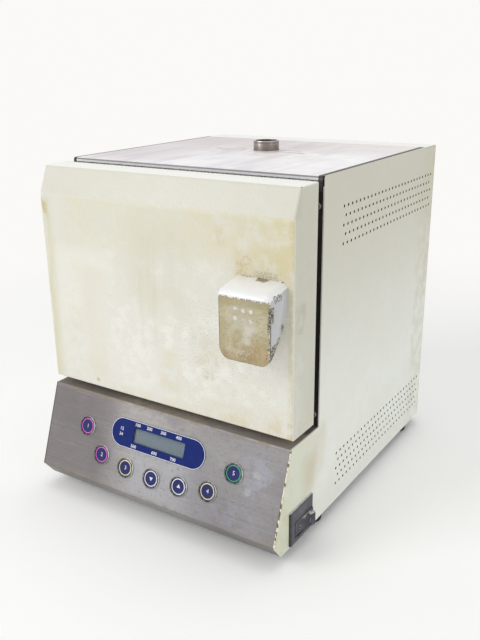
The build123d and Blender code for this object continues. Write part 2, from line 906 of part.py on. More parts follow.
def heater_terminals():
    """Clamp blocks on the ends of the leads, each with its clamp screw."""
    blocks = []
    middle = (bush_end + lead_end) / 2
    for side in (-1, 1):
        for z in lead_z:
            x = side * heater_x
            block = mid_slab((x, middle, z), (terminal_size, terminal_length, terminal_size))
            block = fillet(block.edges().filter_by(Axis.Y), terminal_corner)
            block -= lengthwise(heater_bore, x, z, (bush_end - overcut, lead_end + overcut))
            seat = z + terminal_size / 2
            head = upright(terminal_screw_radius, x, middle, (seat, seat + terminal_screw_height))
            head -= mid_slab((x, middle, seat + terminal_screw_height),
                             (3 * terminal_screw_radius, terminal_slot_width, 2 * terminal_slot_depth))
            blocks.append(block + head)
    return blocks


def thermocouple():
    """The probe: a sheath into the chamber with its flange and head behind the case."""
    sheath_y = (cavity_depth - probe_reach, case_back + probe_flange)
    sheath = lengthwise(probe_radius, probe_x, probe_z, sheath_y)
    flange = mid_slab((probe_x, case_back + probe_flange / 2, probe_z),
                      (probe_flange_width, probe_flange, probe_flange_height))
    head = lengthwise(probe_head_radius, probe_x, probe_z,
                      (case_back + probe_flange, case_back + probe_flange + probe_head_length))
    tip = sheath.edges().sort_by(Axis.Y)[0]
    return fillet(tip, probe_tip_radius) + flange + head


def chimney_pipe():
    """The flue pipe from the chamber's roof up through the top plate."""
    low = muffle_top - flue_seat_depth
    pipe = upright(flue_seat_radius, 0, flue_y, (low, top_z))
    pipe += upright(flue_radius, 0, flue_y, (top_z, flue_top))
    return pipe - upright(flue_bore, 0, flue_y, (low - overcut, flue_top + overcut))


def chamber_gasket():
    """The fibre rope seal round the chamber's mouth."""
    size = (muffle_width - 2 * gasket_inset, muffle_height - 2 * gasket_inset)
    ring = RectangleRounded(*size, gasket_corner)
    hole = (size[0] - 2 * gasket_width, size[1] - 2 * gasket_width)
    ring -= RectangleRounded(*hole, gasket_inner_corner)
    rope = extrude(Plane.XZ * ring, gasket_thickness, dir=(0, -1, 0))
    return Pos(0, 0, cavity_z) * rope


# Door

def door_outline(back):
    """The door's side outline as (y, z), anticlockwise, with its chamfered upper front edge."""
    return [
        (door_front, door_bottom), (back, door_bottom), (back, door_top),
        (door_front + chamfer_depth, door_top), (door_front, door_top - chamfer_height),
    ]


def door_block(inset, back):
    """The door's form moved inwards by an inset, ending at a back plane."""
    half = half_width - inset
    block = prism(moved_in(door_outline(back + inset), inset, closed=True), (-half, half))
    front = door_front + inset
    radius = door_edge_radius - inset
    if radius <= least_fillet:
        return block
    upright_rim = [e for e in block.edges()
                   if abs(abs(e.center().X) - half) < touch and e.center().Y < front + chamfer_depth]
    foot_rim = [e for e in block.edges()
                if abs(e.center().X) < touch and e.center().Y < front + touch
                and e.center().Z < cavity_z]
    return fillet(upright_rim + foot_rim, radius)


def door_shell():
    """The painted front pan of the door."""
    pan = door_block(0.0, door_back) - door_block(sheet, door_back + overcut)
    return drilled(pan, handle_screws, HEAD_BACK)


def door_back_plate():
    """The plate that closes the door's pan."""
    reach = half_width - sheet - fold_gap
    low = door_bottom + sheet + fold_gap
    high = door_top - sheet - fold_gap
    plate = slab((-reach, reach), (door_back - sheet, door_back), (low, high))
    return drilled(plate, leaf_screws + plug_screws + striker_screws, HEAD_BACK)


def door_insulation():
    """The fibre board inside the door's pan, with room for the screws."""
    core = door_block(sheet + core_gap, door_back - sheet - core_gap)
    room = screw_head_radius + core_screw_room
    core -= [lengthwise(room, x, z, (y - overcut, y + screw_head_height + core_screw_room))
             for x, y, z in handle_screws]
    tips = leaf_screws + plug_screws + striker_screws
    depth = (door_back - core_screw_depth, door_back + overcut)
    return core - [lengthwise(screw_radius + core_screw_gap, x, z, depth) for x, y, z in tips]


def door_plug():
    """The ceramic plug with a flange that meets the seal and a step that enters the mouth."""
    flange = slab((-plug_flange_width / 2, plug_flange_width / 2), (door_back, plug_flange_front),
                  (cavity_z - plug_flange_height / 2, cavity_z + plug_flange_height / 2))
    step = slab((-plug_width / 2, plug_width / 2), (plug_flange_front, plug_reach),
                (cavity_z - plug_height / 2, cavity_z + plug_height / 2))
    step = chamfer(step.faces().sort_by(Axis.Y)[-1].edges(), plug_chamfer)
    return drilled(flange + step, plug_screws, HEAD_BACK)


def door_handle():
    """The hood-shaped pull, hollow and open below."""
    half = handle_width / 2
    root_low, root_high = base_z + handle_root_bottom, base_z + handle_root_top
    nose_low, nose_high = base_z + handle_nose_bottom, base_z + handle_nose_top
    outline = [
        (handle_front, nose_low), (door_front, root_low), (door_front, root_high), (handle_front, nose_high),
    ]
    face = make_face(Polyline(*outline, close=True))
    for point, radius in ((outline[3], handle_top_radius), (outline[0], handle_lip_radius)):
        face = fillet(face.vertices().sort_by_distance((*point, 0))[0], radius)
    hood = Pos(-half, 0, 0) * extrude(Plane.YZ * face, 2 * half, dir=(1, 0, 0))
    rim = [e for e in hood.edges()
           if abs(abs(e.center().X) - half) < touch and e.center().Y < door_front - touch]
    hood = fillet(rim, handle_edge_radius)
    inner = moved_in(outline, handle_wall, closed=True)
    below = nose_low - handle_depth
    room = prism([(inner[0][0], below), (inner[1][0], below), inner[2], inner[3]],
                 (-half + handle_wall, half - handle_wall))
    room = fillet(room.edges().filter_by(Axis.Z), handle_room_radius)
    shield = slab((-half, half), (handle_front - overcut, door_front + overcut),
                  (nose_low, root_high + overcut))
    chin = shield.edges().filter_by(Axis.Y).sort_by(Axis.Z)[:2]
    hood = Pos(handle_centre_x, 0, 0) * ((hood - room) & fillet(chin, handle_chin_radius))
    depth = (door_front - handle_wall + handle_skin, door_front + overcut)
    thread = screw_radius + thread_gap
    return hood - [lengthwise(thread, x, z, depth) for x, y, z in handle_screws]


def striker_plate():
    """The steel plate on the door that the magnet pulls."""
    plate = slab((magnet_x - striker_width / 2, magnet_x + striker_width / 2),
                 (door_back, door_back + striker_thickness),
                 (catch_z - striker_height / 2 - striker_ear, catch_z + striker_height / 2 + striker_ear))
    return drilled(plate, striker_screws, HEAD_BACK)


def door_screws():
    """The screws in the door: handle, hinge leaves, plug and striker."""
    handle_screw_length = handle_wall - handle_skin + sheet - handle_screw_gap
    return (
        screws(handle_screws, HEAD_BACK, handle_screw_length)
        + screws(leaf_screws, HEAD_BACK, short_screw_length)
        + screws(plug_screws, HEAD_BACK, plug_flange_front - door_back + plug_screw_bite)
        + screws(striker_screws, HEAD_BACK, short_screw_length)
    )


# Hinges, catch and door switch

def knuckle(centre, low, high):
    """A hinge knuckle round the door's axis, between two shares of the hinge's height."""
    z = (centre + (low - 0.5) * hinge_height, centre + (high - 0.5) * hinge_height)
    ring = upright(knuckle_radius, hinge_x, hinge_y, z)
    return ring, z


def pin_hole(centre):
    """The bore through all of a hinge's knuckles."""
    reach = hinge_height / 2 + overcut
    return upright(pin_radius + pin_clearance, hinge_x, hinge_y, (centre - reach, centre + reach))


def hinge_brackets():
    """The fixed halves of the hinges, with two knuckles each."""
    brackets = []
    for centre in hinge_centres:
        leaf_z = (centre - hinge_height / 2, centre + hinge_height / 2)
        leaf_y = (frame_front - leaf_thickness, frame_front)
        leaf = slab((hinge_x - leaf_web / 2, hinge_x + leaf_width), leaf_y, leaf_z)
        for low, high in ((0.0, knuckle_share), (1.0 - knuckle_share, 1.0)):
            ring, z = knuckle(centre, low, high)
            web = slab((hinge_x - leaf_web / 2, hinge_x + leaf_web / 2), (hinge_y, frame_front), z)
            leaf += ring + web
        brackets.append(leaf - pin_hole(centre))
    return brackets


def door_hinge_leaves():
    """The door's halves of the hinges, with one knuckle each."""
    leaves = []
    gap = knuckle_gap / hinge_height
    for centre in hinge_centres:
        leaf_z = (centre - hinge_height / 2, centre + hinge_height / 2)
        leaf = slab((hinge_x + knuckle_radius + leaf_start_gap, hinge_x + leaf_width),
                    (door_back, door_back + leaf_thickness), leaf_z)
        ring, z = knuckle(centre, knuckle_share + gap, 1.0 - knuckle_share - gap)
        leaf += ring + slab((hinge_x, hinge_x + leaf_width), (door_back, door_back + leaf_thickness), z)
        seats = [p for p in leaf_screws if abs(p[2] - centre) < hinge_height / 2]
        leaves.append(drilled(leaf, seats, HEAD_BACK) - pin_hole(centre))
    return leaves


def hinge_pins():
    """The two hinge pins with their heads."""
    pins = []
    for centre in hinge_centres:
        top = centre + hinge_height / 2
        pin = upright(pin_radius, hinge_x, hinge_y, (centre - hinge_height / 2 - pin_tail, top))
        pins.append(pin + upright(pin_head_radius, hinge_x, hinge_y, (top, top + pin_head_height)))
    return pins


def latch_magnet():
    """The magnet catch on the front frame."""
    front = door_back + striker_thickness + magnet_gap
    case = slab((magnet_x - magnet_width / 2, magnet_x + magnet_width / 2), (front, frame_front),
                (catch_z - magnet_height / 2, catch_z + magnet_height / 2))
    return fillet(case.edges().filter_by(Axis.Y), magnet_corner)


def door_switch():
    """The body of the switch that cuts the heaters when the door opens."""
    body = mid_slab((door_switch_x, frame_front - door_switch_depth / 2, door_switch_z),
                    (door_switch_width, door_switch_depth, door_switch_size))
    body = fillet(body.edges().filter_by(Axis.Y), door_switch_corner)
    bore = (frame_front - door_switch_depth - overcut, frame_front - door_switch_floor)
    return body - lengthwise(plunger_radius + plunger_clearance, door_switch_x, door_switch_z, bore)


def door_switch_plunger():
    """The sprung plunger that the closed door holds in."""
    tip = door_back + magnet_gap
    end = frame_front - door_switch_depth + plunger_travel + plunger_grip
    pin = lengthwise(plunger_radius, door_switch_x, door_switch_z, (tip, end))
    return fillet(pin.edges().sort_by(Axis.Y)[0], plunger_tip_radius)


# Key panel

def display_label():
    """The printed film round the display window."""
    film = SlotOverall(label_width, label_height)
    film -= Pos(window_x - label_x, 0) * RectangleRounded(window_width, window_height, window_corner)
    return on_slope(extrude(film, label_thickness), label_x, label_down)


def display_lens():
    """The clear window behind the film, set in the fascia's opening."""
    width = window_width + 2 * (lens_border - lens_gap)
    height = window_height + 2 * (lens_border - lens_gap)
    lens = Box(width, height, sheet, align=(Align.CENTER, Align.CENTER, Align.MAX))
    return on_slope(lens, window_x, label_down)


def lcd_module():
    """The character display: glass in its frame on a small board."""
    front = -sheet - lcd_gap
    board = Pos(0, 0, front - lcd_thickness) * Box(lcd_width, lcd_height, board_thickness, align=RISE)
    rise = lcd_thickness - board_thickness - lcd_glass
    frame = Pos(0, 0, front - lcd_glass - rise) * Box(lcd_frame_width, lcd_frame_height, rise, align=RISE)
    frame = chamfer(frame.faces().sort_by(Axis.Z)[-1].edges(), lcd_frame_chamfer)
    glass = Pos(0, 0, front - lcd_glass) * Box(window_width, window_height, lcd_glass, align=RISE)
    return on_slope(board + frame + glass, window_x, label_down)


def panel_posts():
    """The four posts between the fascia and the key board, as (x, distance down)."""
    downs = (panel_board_top + panel_post_margin, panel_board_bottom - panel_post_margin)
    return [(side * panel_post_x, down) for side in (-1, 1) for down in downs]


def display_board():
    """The board that carries the key switches, parallel to the slope."""
    size = (panel_board_width, panel_board_bottom - panel_board_top, board_thickness)
    board = Box(*size, align=(Align.CENTER, Align.CENTER, Align.MAX))
    middle = (panel_board_top + panel_board_bottom) / 2
    for x, y, width, depth in panel_chips:
        board += Pos(x, y, 0) * Box(width, depth, chip_height, align=RISE)
    return on_slope(board, 0, middle, -board_depth)


def key_switches():
    """The push switches under the keys."""
    body = Box(key_switch_size, key_switch_size, key_switch_height, align=RISE)
    body = chamfer(body.edges().filter_by(Axis.Z), key_switch_corner)
    body += Pos(0, 0, key_switch_height) * Cylinder(key_actuator_radius, key_actuator_height, align=RISE)
    return [on_slope(body, x, down, -board_depth) for x, down in key_places()]


def button_bezels():
    """The turned rings in the fascia, each with the nut that holds it."""
    pieces = []
    for x, down in key_places():
        rim = Cylinder(bezel_radius, bezel_proud, align=RISE)
        rim = fillet(rim.edges().sort_by(Axis.Z)[-1], bezel_edge_radius)
        neck = Cylinder(bezel_neck_radius, bezel_neck_length, align=RISE)
        ring = rim + Pos(0, 0, -bezel_neck_length) * neck - Cylinder(bezel_bore, 4 * bezel_neck_length)
        nut = Cylinder(bezel_nut_radius, bezel_nut_height, align=RISE)
        nut -= Cylinder(bezel_neck_radius + thread_gap, 4 * bezel_neck_length)
        pieces += [on_slope(ring, x, down), on_slope(nut, x, down, -sheet - bezel_nut_height)]
    return pieces


def button_cap(x, down):
    """One key: a dished cap with a flange under its ring and a stem over its switch."""
    radius = bezel_bore - cap_clearance
    under = -bezel_neck_length - cap_clearance
    cap = Pos(0, 0, under) * Cylinder(radius, cap_proud - under, align=RISE)
    cap = fillet(cap.edges().sort_by(Axis.Z)[-1], cap_edge_radius)
    cap -= Pos(0, 0, cap_proud - cap_dish) * Cylinder(radius - cap_rim, cap_proud, align=RISE)
    flange = Cylinder(cap_flange_radius, cap_flange_height, align=RISE)
    actuator = -board_depth + key_switch_height + key_actuator_height
    stem_end = actuator + key_travel + key_slack
    stem = Cylinder(cap_stem_radius, under - cap_flange_height - stem_end, align=RISE)
    cap += Pos(0, 0, under - cap_flange_height) * flange + Pos(0, 0, stem_end) * stem
    return on_slope(cap, x, down)


# Power switch

def power_switch_body():
    """The switch's cover plate and housing, hollow for the rocker."""
    plate_z = base_z + bezel_plate_centre_height
    outline = RectangleRounded(bezel_plate_length, bezel_plate_height, bezel_plate_corner)
    plate = extrude(Plane.YZ * (Pos(bezel_plate_y, plate_z) * outline), bezel_plate_proud, dir=(1, 0, 0))
    plate = Pos(half_width, 0, 0) * plate
    plate = fillet(plate.faces().sort_by(Axis.X)[-1].edges(), bezel_plate_edge)
    room = (2 * (rocker_radius + rocker_side_gap), rocker_height + 2 * rocker_side_gap)
    housing = slab(
        (panel_inner - switch_depth, half_width),
        (rocker_y - room[0] / 2 - switch_wall, rocker_y + room[0] / 2 + switch_wall),
        (rocker_z - room[1] / 2 - switch_wall, rocker_z + room[1] / 2 + switch_wall))
    body = plate + housing
    body -= slab((rocker_pivot_x - switch_cavity, half_width + 2 * bezel_plate_proud),
                 (rocker_y - room[0] / 2, rocker_y + room[0] / 2),
                 (rocker_z - room[1] / 2, rocker_z + room[1] / 2))
    reach = rocker_height / 2 + rocker_pin_reach
    body -= Pos(rocker_pivot_x, rocker_y, rocker_z) * Cylinder(
        rocker_pin_radius + rocker_pin_clearance, 2 * (reach + rocker_pin_clearance))
    tab_x = panel_inner - switch_depth - tab_length / 2
    for side in (-1, 1):
        body += mid_slab((tab_x, rocker_y, rocker_z + side * tab_spread / 2),
                         (tab_length, tab_thickness, tab_width))
    return body


def power_rocker():
    """The rocker on its upright pivot, with its rear half standing out."""
    tip_run = (rocker_radius ** 2 - rocker_tip ** 2) ** 0.5
    side = rocker_radius - rocker_hip_inset
    outline = [
        (tip_run, rocker_tip), (0, rocker_valley), (-tip_run, rocker_tip),
        (-side, 0), (-rocker_root, -rocker_depth), (rocker_root, -rocker_depth), (side, 0),
    ]
    face = make_face(Polyline(*outline, close=True))
    for sign in (-1, 1):
        corner = face.vertices().sort_by_distance((sign * tip_run, rocker_tip, 0))[0]
        face = fillet(corner, rocker_tip_edge)
    body = extrude(face, rocker_height / 2, both=True)
    body += Cylinder(rocker_pin_radius, rocker_height + 2 * rocker_pin_reach)
    turned = Rot(0, 0, -90 - rocker_tilt) * mirror(body, Plane.YZ)
    return Pos(rocker_pivot_x, rocker_y, rocker_z) * turned


# Electronics

def board_standoffs():
    """The posts under the key board and the main board."""
    long_post = Cylinder(post_radius, board_depth - sheet, align=RISE)
    posts = [on_slope(long_post, x, down, -board_depth) for x, down in panel_posts()]
    for x in (main_board_x[0] + main_post_margin, main_board_x[1] - main_post_margin):
        for y in (main_board_y[0] + main_post_margin, main_board_y[1] - main_post_margin):
            posts.append(upright(post_radius, x, y, (pan_top, pan_top + post_height)))
    return posts


def main_board():
    """The control board with its larger parts."""
    low = pan_top + post_height
    top = low + board_thickness
    left, front = main_board_x[0], main_board_y[0]
    board = slab(main_board_x, main_board_y, (low, top))
    for across, back, radius, height in round_parts:
        board += upright(radius, left + across, front + back, (top, top + height))
    for across, back, width, depth, height in square_parts:
        board += mid_slab((left + across, front + back, top + height / 2), (width, depth, height))
    return board


def transformer():
    """The mains transformer: a laminated core with its winding and foot brackets."""
    low = pan_top + bracket_thickness
    window_z = low + core_foot + core_window_height / 2
    window = (core_width - 2 * core_side, core_window_height)
    core = mid_slab((0, 0, low + core_height / 2), (core_width, core_depth, core_height))
    core -= mid_slab((0, 0, window_z), (window[0], 2 * core_depth, window[1]))
    leg = mid_slab((0, 0, window_z), (core_leg_width, core_depth, core_window_height))
    bobbin = mid_slab((0, 0, window_z),
                      (window[0] - 2 * bobbin_gap, bobbin_depth, window[1] - 2 * bobbin_gap))
    bobbin = fillet(bobbin.edges().filter_by(Axis.Z), bobbin_corner)
    bracket = mid_slab((0, 0, pan_top + bracket_thickness / 2),
                       (bracket_width, core_depth, bracket_thickness))
    return Pos(transformer_x, transformer_y, 0) * (core + leg + bobbin + bracket)


def solid_state_relay():
    """The block that switches the heaters, with its terminal screws."""
    block = mid_slab((0, 0, relay_height / 2), (relay_width, relay_depth, relay_height))
    block = fillet(block.edges().filter_by(Axis.Z), relay_corner)
    step_z = relay_height - relay_step_drop
    step_x = relay_width / 2 - relay_step_width
    pad_x = relay_width / 2 - relay_step_width / 2
    for side in (-1, 1):
        step = sorted((side * step_x, side * (relay_width / 2 + overcut)))
        block -= slab(step, (-relay_step_depth / 2, relay_step_depth / 2),
                      (step_z, relay_height + overcut))
        for end in (-1, 1):
            block += upright(relay_pad_radius, side * pad_x, end * relay_pad_spread / 2,
                             (step_z, step_z + relay_pad_height))
    return Pos(relay_x, relay_y, pan_top) * block


def terminal_strip():
    """The mains terminals beside the gland."""
    strip = mid_slab((0, 0, strip_low_height / 2), (strip_length, strip_depth, strip_low_height))
    strip += mid_slab((0, 0, strip_height / 2), (strip_length, strip_core, strip_height))
    pitch = (strip_length - strip_wall) / strip_ways
    for way in range(strip_ways + 1):
        wall_x = way * pitch - (strip_length - strip_wall) / 2
        strip += mid_slab((wall_x, 0, strip_height / 2), (strip_wall, strip_depth, strip_height))
    return Pos(strip_x, strip_y, pan_top) * strip


def cable_gland():
    """The gland in the back with its clamping dome, and its nut inside."""
    z = base_z + gland_height
    hexagon = Plane.XZ * RegularPolygon(gland_hex_radius, 6)
    collar = Pos(gland_x, casing_depth, z) * extrude(hexagon, gland_nut_height, dir=(0, 1, 0))
    dome = lengthwise(gland_dome_radius, gland_x, z, (casing_depth, casing_depth + gland_proud))
    dome = fillet(dome.edges().sort_by(Axis.Y)[-1], gland_dome_edge)
    thread = lengthwise(gland_thread_radius, gland_x, z, (casing_depth - gland_inside, casing_depth))
    bore_y = (casing_depth - 2 * gland_inside, casing_depth + 2 * gland_proud)
    bore = lengthwise(gland_bore, gland_x, z, bore_y)
    nut_back = casing_depth - sheet
    nut = Pos(gland_x, nut_back, z) * extrude(hexagon, gland_nut_height, dir=(0, -1, 0))
    nut -= lengthwise(gland_thread_radius + thread_gap, gland_x, z,
                      (nut_back - 2 * gland_nut_height, nut_back + overcut))
    return [collar + dome + thread - bore, nut]


# The whole furnace

def furnace():
    """Every piece by its name."""
    pieces = {
        "left_side_panel": left_side_panel(),
        "right_side_panel": right_side_panel(),
        "rear_panel": rear_panel(),
        "top_plate": top_plate(),
        "base_pan": base_pan(),
        "control_fascia": control_fascia(),
        "front_frame": front_frame(),
        "support_shelf": support_shelf(),
        "rubber_feet": rubber_feet(),
        "casing_screws": casing_screws(),
        "muffle": muffle(),
        "hearth_plate": hearth_plate(),
        "right_heater": heater(),
        "left_heater": mirror(heater(), Plane.YZ),
        "heater_retainers": heater_retainers(),
        "insulation_top": insulation_top(),
        "insulation_bottom": insulation_bottom(),
        "insulation_sides": insulation_sides(),
        "insulation_rear": insulation_rear(),
        "inner_case": inner_case(),
        "lead_bushes": lead_bushes(),
        "heater_terminals": heater_terminals(),
        "thermocouple": thermocouple(),
        "chimney_pipe": chimney_pipe(),
        "chamber_gasket": chamber_gasket(),
        "door_shell": door_shell(),
        "door_back_plate": door_back_plate(),
        "door_insulation": door_insulation(),
        "door_plug": door_plug(),
        "door_handle": door_handle(),
        "door_screws": door_screws(),
        "striker_plate": striker_plate(),
        "door_hinge_leaves": door_hinge_leaves(),
        "hinge_brackets": hinge_brackets(),
        "hinge_pins": hinge_pins(),
        "latch_magnet": latch_magnet(),
        "door_switch": door_switch(),
        "door_switch_plunger": door_switch_plunger(),
        "display_label": display_label(),
        "display_lens": display_lens(),
        "lcd_module": lcd_module(),
        "display_board": display_board(),
        "key_switches": key_switches(),
        "button_bezels": button_bezels(),
        "power_switch_body": power_switch_body(),
        "power_rocker": power_rocker(),
        "board_standoffs": board_standoffs(),
        "main_board": main_board(),
        "transformer": transformer(),
        "solid_state_relay": solid_state_relay(),
        "terminal_strip": terminal_strip(),
        "cable_gland": cable_gland(),
    }
    for number, place in enumerate(key_places(), start=1):
        pieces[f"button_cap_{number}"] = button_cap(*place)
    return pieces


os.makedirs("parts", exist_ok=True)
shift = Pos(-origin_x, -origin_y, 0)
for name, piece in furnace().items():
    solids = piece if isinstance(piece, list) else [piece]
    flat = [solid for body in solids for solid in body.solids()]
    export_step(shift * Compound(children=flat), f"parts/{name}.step")
print("origin moved by", round(origin_x, 3), round(origin_y, 3))
print("hinge axis", round(hinge_x - origin_x, 3), round(hinge_y - origin_y, 3))
print("slope normal", slope_plane.z_dir, "rocker", round(rocker_pivot_x - origin_x, 3), rocker_y - origin_y)
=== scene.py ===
"""Looks of a bench-top burnout furnace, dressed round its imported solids.

The pan of the door, its handle, the keys, the printed label, the rocker, the feet, the flue and the
rope seal are modelled here. The other solids stay and get their finishes. Sizes are millimetres in
the casing's own measures: X from its middle, Y from the side panels' front edge towards the back,
and Z from the bench. Everything that Blender holds is in metres, in the frame of the solids.
"""

import logging
from collections.abc import Callable, Iterator, Sequence
from contextlib import contextmanager
from dataclasses import dataclass, field
from enum import Enum
from functools import cached_property
from math import cos, pi, radians, sin, tau

import bmesh
import bpy
from mathutils import Euler, Matrix, Vector


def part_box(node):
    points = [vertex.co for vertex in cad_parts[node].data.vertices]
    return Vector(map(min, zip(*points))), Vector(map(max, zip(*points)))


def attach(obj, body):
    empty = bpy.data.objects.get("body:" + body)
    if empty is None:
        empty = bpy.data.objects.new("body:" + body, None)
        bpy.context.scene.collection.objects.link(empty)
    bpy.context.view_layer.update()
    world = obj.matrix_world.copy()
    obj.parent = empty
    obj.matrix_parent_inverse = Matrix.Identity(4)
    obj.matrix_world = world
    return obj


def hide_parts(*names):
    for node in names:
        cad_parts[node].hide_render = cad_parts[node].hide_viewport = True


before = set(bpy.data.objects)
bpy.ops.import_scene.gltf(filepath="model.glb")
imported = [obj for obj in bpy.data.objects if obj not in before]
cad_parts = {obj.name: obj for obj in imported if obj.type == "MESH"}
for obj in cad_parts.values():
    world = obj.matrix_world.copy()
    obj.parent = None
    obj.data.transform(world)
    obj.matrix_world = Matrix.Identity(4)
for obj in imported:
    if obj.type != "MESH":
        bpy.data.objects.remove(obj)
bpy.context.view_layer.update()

MM = 0.001
CASING_DEPTH = 285.0
HALF_WIDTH = 150.0
DOOR_FRONT = -52.9
DOOR_BACK = -11.5
DOOR_LOW = 124.0
DOOR_HIGH = 354.8
LEDGE_REACH = 54.1
LEDGE_Z = 116.3
TOE_REACH = 85.6
TOE_Z = 28.6
FLUE_Y = 151.0
TOP_Z = 358.0
# Places on the key panel: across from the middle, and down the slope
LABEL_X = -0.7
LABEL_DOWN = 31.7
WINDOW_X = 1.4
ACROSS, BACK, UP = Vector((1.0, 0.0, 0.0)), Vector((0.0, 1.0, 0.0)), Vector((0.0, 0.0, 1.0))

log = logging.getLogger("furnace")
Colour = tuple[float, float, float, float]
Point = tuple[float, float, float]


def casing_shift() -> Vector:
    """The frame's place of the casing's own origin, in metres."""
    left, right, back = (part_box(f"{side}_panel") for side in ("left_side", "right_side", "rear"))
    return Vector(((left[0].x + right[1].x) / 2, back[1].y - CASING_DEPTH * MM, 0.0))


SHIFT = casing_shift()


def at(x: float, y: float, z: float) -> Vector:
    """A place in casing millimetres, in the frame's metres."""
    return Vector((x, y, z)) * MM + SHIFT


def srgb(red: int, green: int, blue: int) -> Colour:
    """A display colour as linear light with full alpha."""
    parts = [c / 255 for c in (red, green, blue)]
    return (*(c / 12.92 if c <= 0.04045 else ((c + 0.055) / 1.055) ** 2.4 for c in parts), 1.0)


def slope_axes() -> tuple[Vector, Vector]:
    """The key panel's upward and outward directions."""
    up = Vector((0.0, TOE_REACH - LEDGE_REACH, LEDGE_Z - TOE_Z)).normalized()
    return up, Vector((0.0, -up.z, up.y))


def on_slope(x: float, down: float, out: float = 0.0) -> Matrix:
    """The placement of a flat piece on the key panel.

    Args:
        x: Distance from the casing's middle.
        down: Distance down the slope from its top edge.
        out: Height over the panel's face.

    Returns:
        A matrix from a piece lying on XY with its top towards +Y, in metres.
    """
    up, outward = slope_axes()
    spot = at(x, -LEDGE_REACH, LEDGE_Z) - up * down * MM + outward * out * MM
    turn = Matrix((ACROSS, up, outward)).transposed()
    return Matrix.Translation(spot) @ turn.to_4x4()


# Shader arithmetic


class Signal:
    """What comes out of a shader node. Sums and products on it add Math nodes."""

    def __init__(self, graph: "Graph", socket: bpy.types.NodeSocket) -> None:
        """Keeps the socket and the graph that it belongs to."""
        self.graph = graph
        self.socket = socket

    def _math(self, operation: str, *operands: "Signal | float") -> "Signal":
        """Adds one Math node."""
        return self.graph.add("ShaderNodeMath", {"operation": operation}, dict(enumerate(operands)))

    def __add__(self, other: "Signal | float") -> "Signal":
        """The sum."""
        return self._math("ADD", self, other)

    __radd__ = __add__

    def __mul__(self, other: "Signal | float") -> "Signal":
        """The product."""
        return self._math("MULTIPLY", self, other)

    __rmul__ = __mul__

    def __sub__(self, other: "Signal | float") -> "Signal":
        """The difference."""
        return self._math("SUBTRACT", self, other)

    def __rsub__(self, other: "Signal | float") -> "Signal":
        """The difference, with the number first."""
        return self._math("SUBTRACT", other, self)

    def __or__(self, other: "Signal | float") -> "Signal":
        """The larger of the two, as masks add up."""
        return self._math("MAXIMUM", self, other)

    def __abs__(self) -> "Signal":
        """The size without its sign."""
        return self._math("ABSOLUTE", self)

    def wrapped(self, high: float) -> "Signal":
        """The rest that is left from 0 to a high value."""
        return self._math("WRAP", self, high, 0.0)


Tint = Signal | Colour
Values = dict[str, Signal | Colour | float]


class Grain(Enum):
    """The kinds of unevenness that finishes share: noise scale per metre, detail, roughness."""

    BROAD = ((14.0, 14.0, 14.0), 3.0, 0.5)
    MOTTLED = ((70.0, 70.0, 70.0), 6.0, 0.65)
    STREAKED = ((95.0, 95.0, 9.0), 5.0, 0.6)
    LEVEL = ((6.0, 420.0, 420.0), 4.0, 0.7)
    FINE = ((900.0, 900.0, 900.0), 3.0, 0.6)
    FLAKED = ((330.0, 330.0, 330.0), 5.0, 0.7)
    CHIPPED = ((620.0, 620.0, 620.0), 4.0, 0.6)


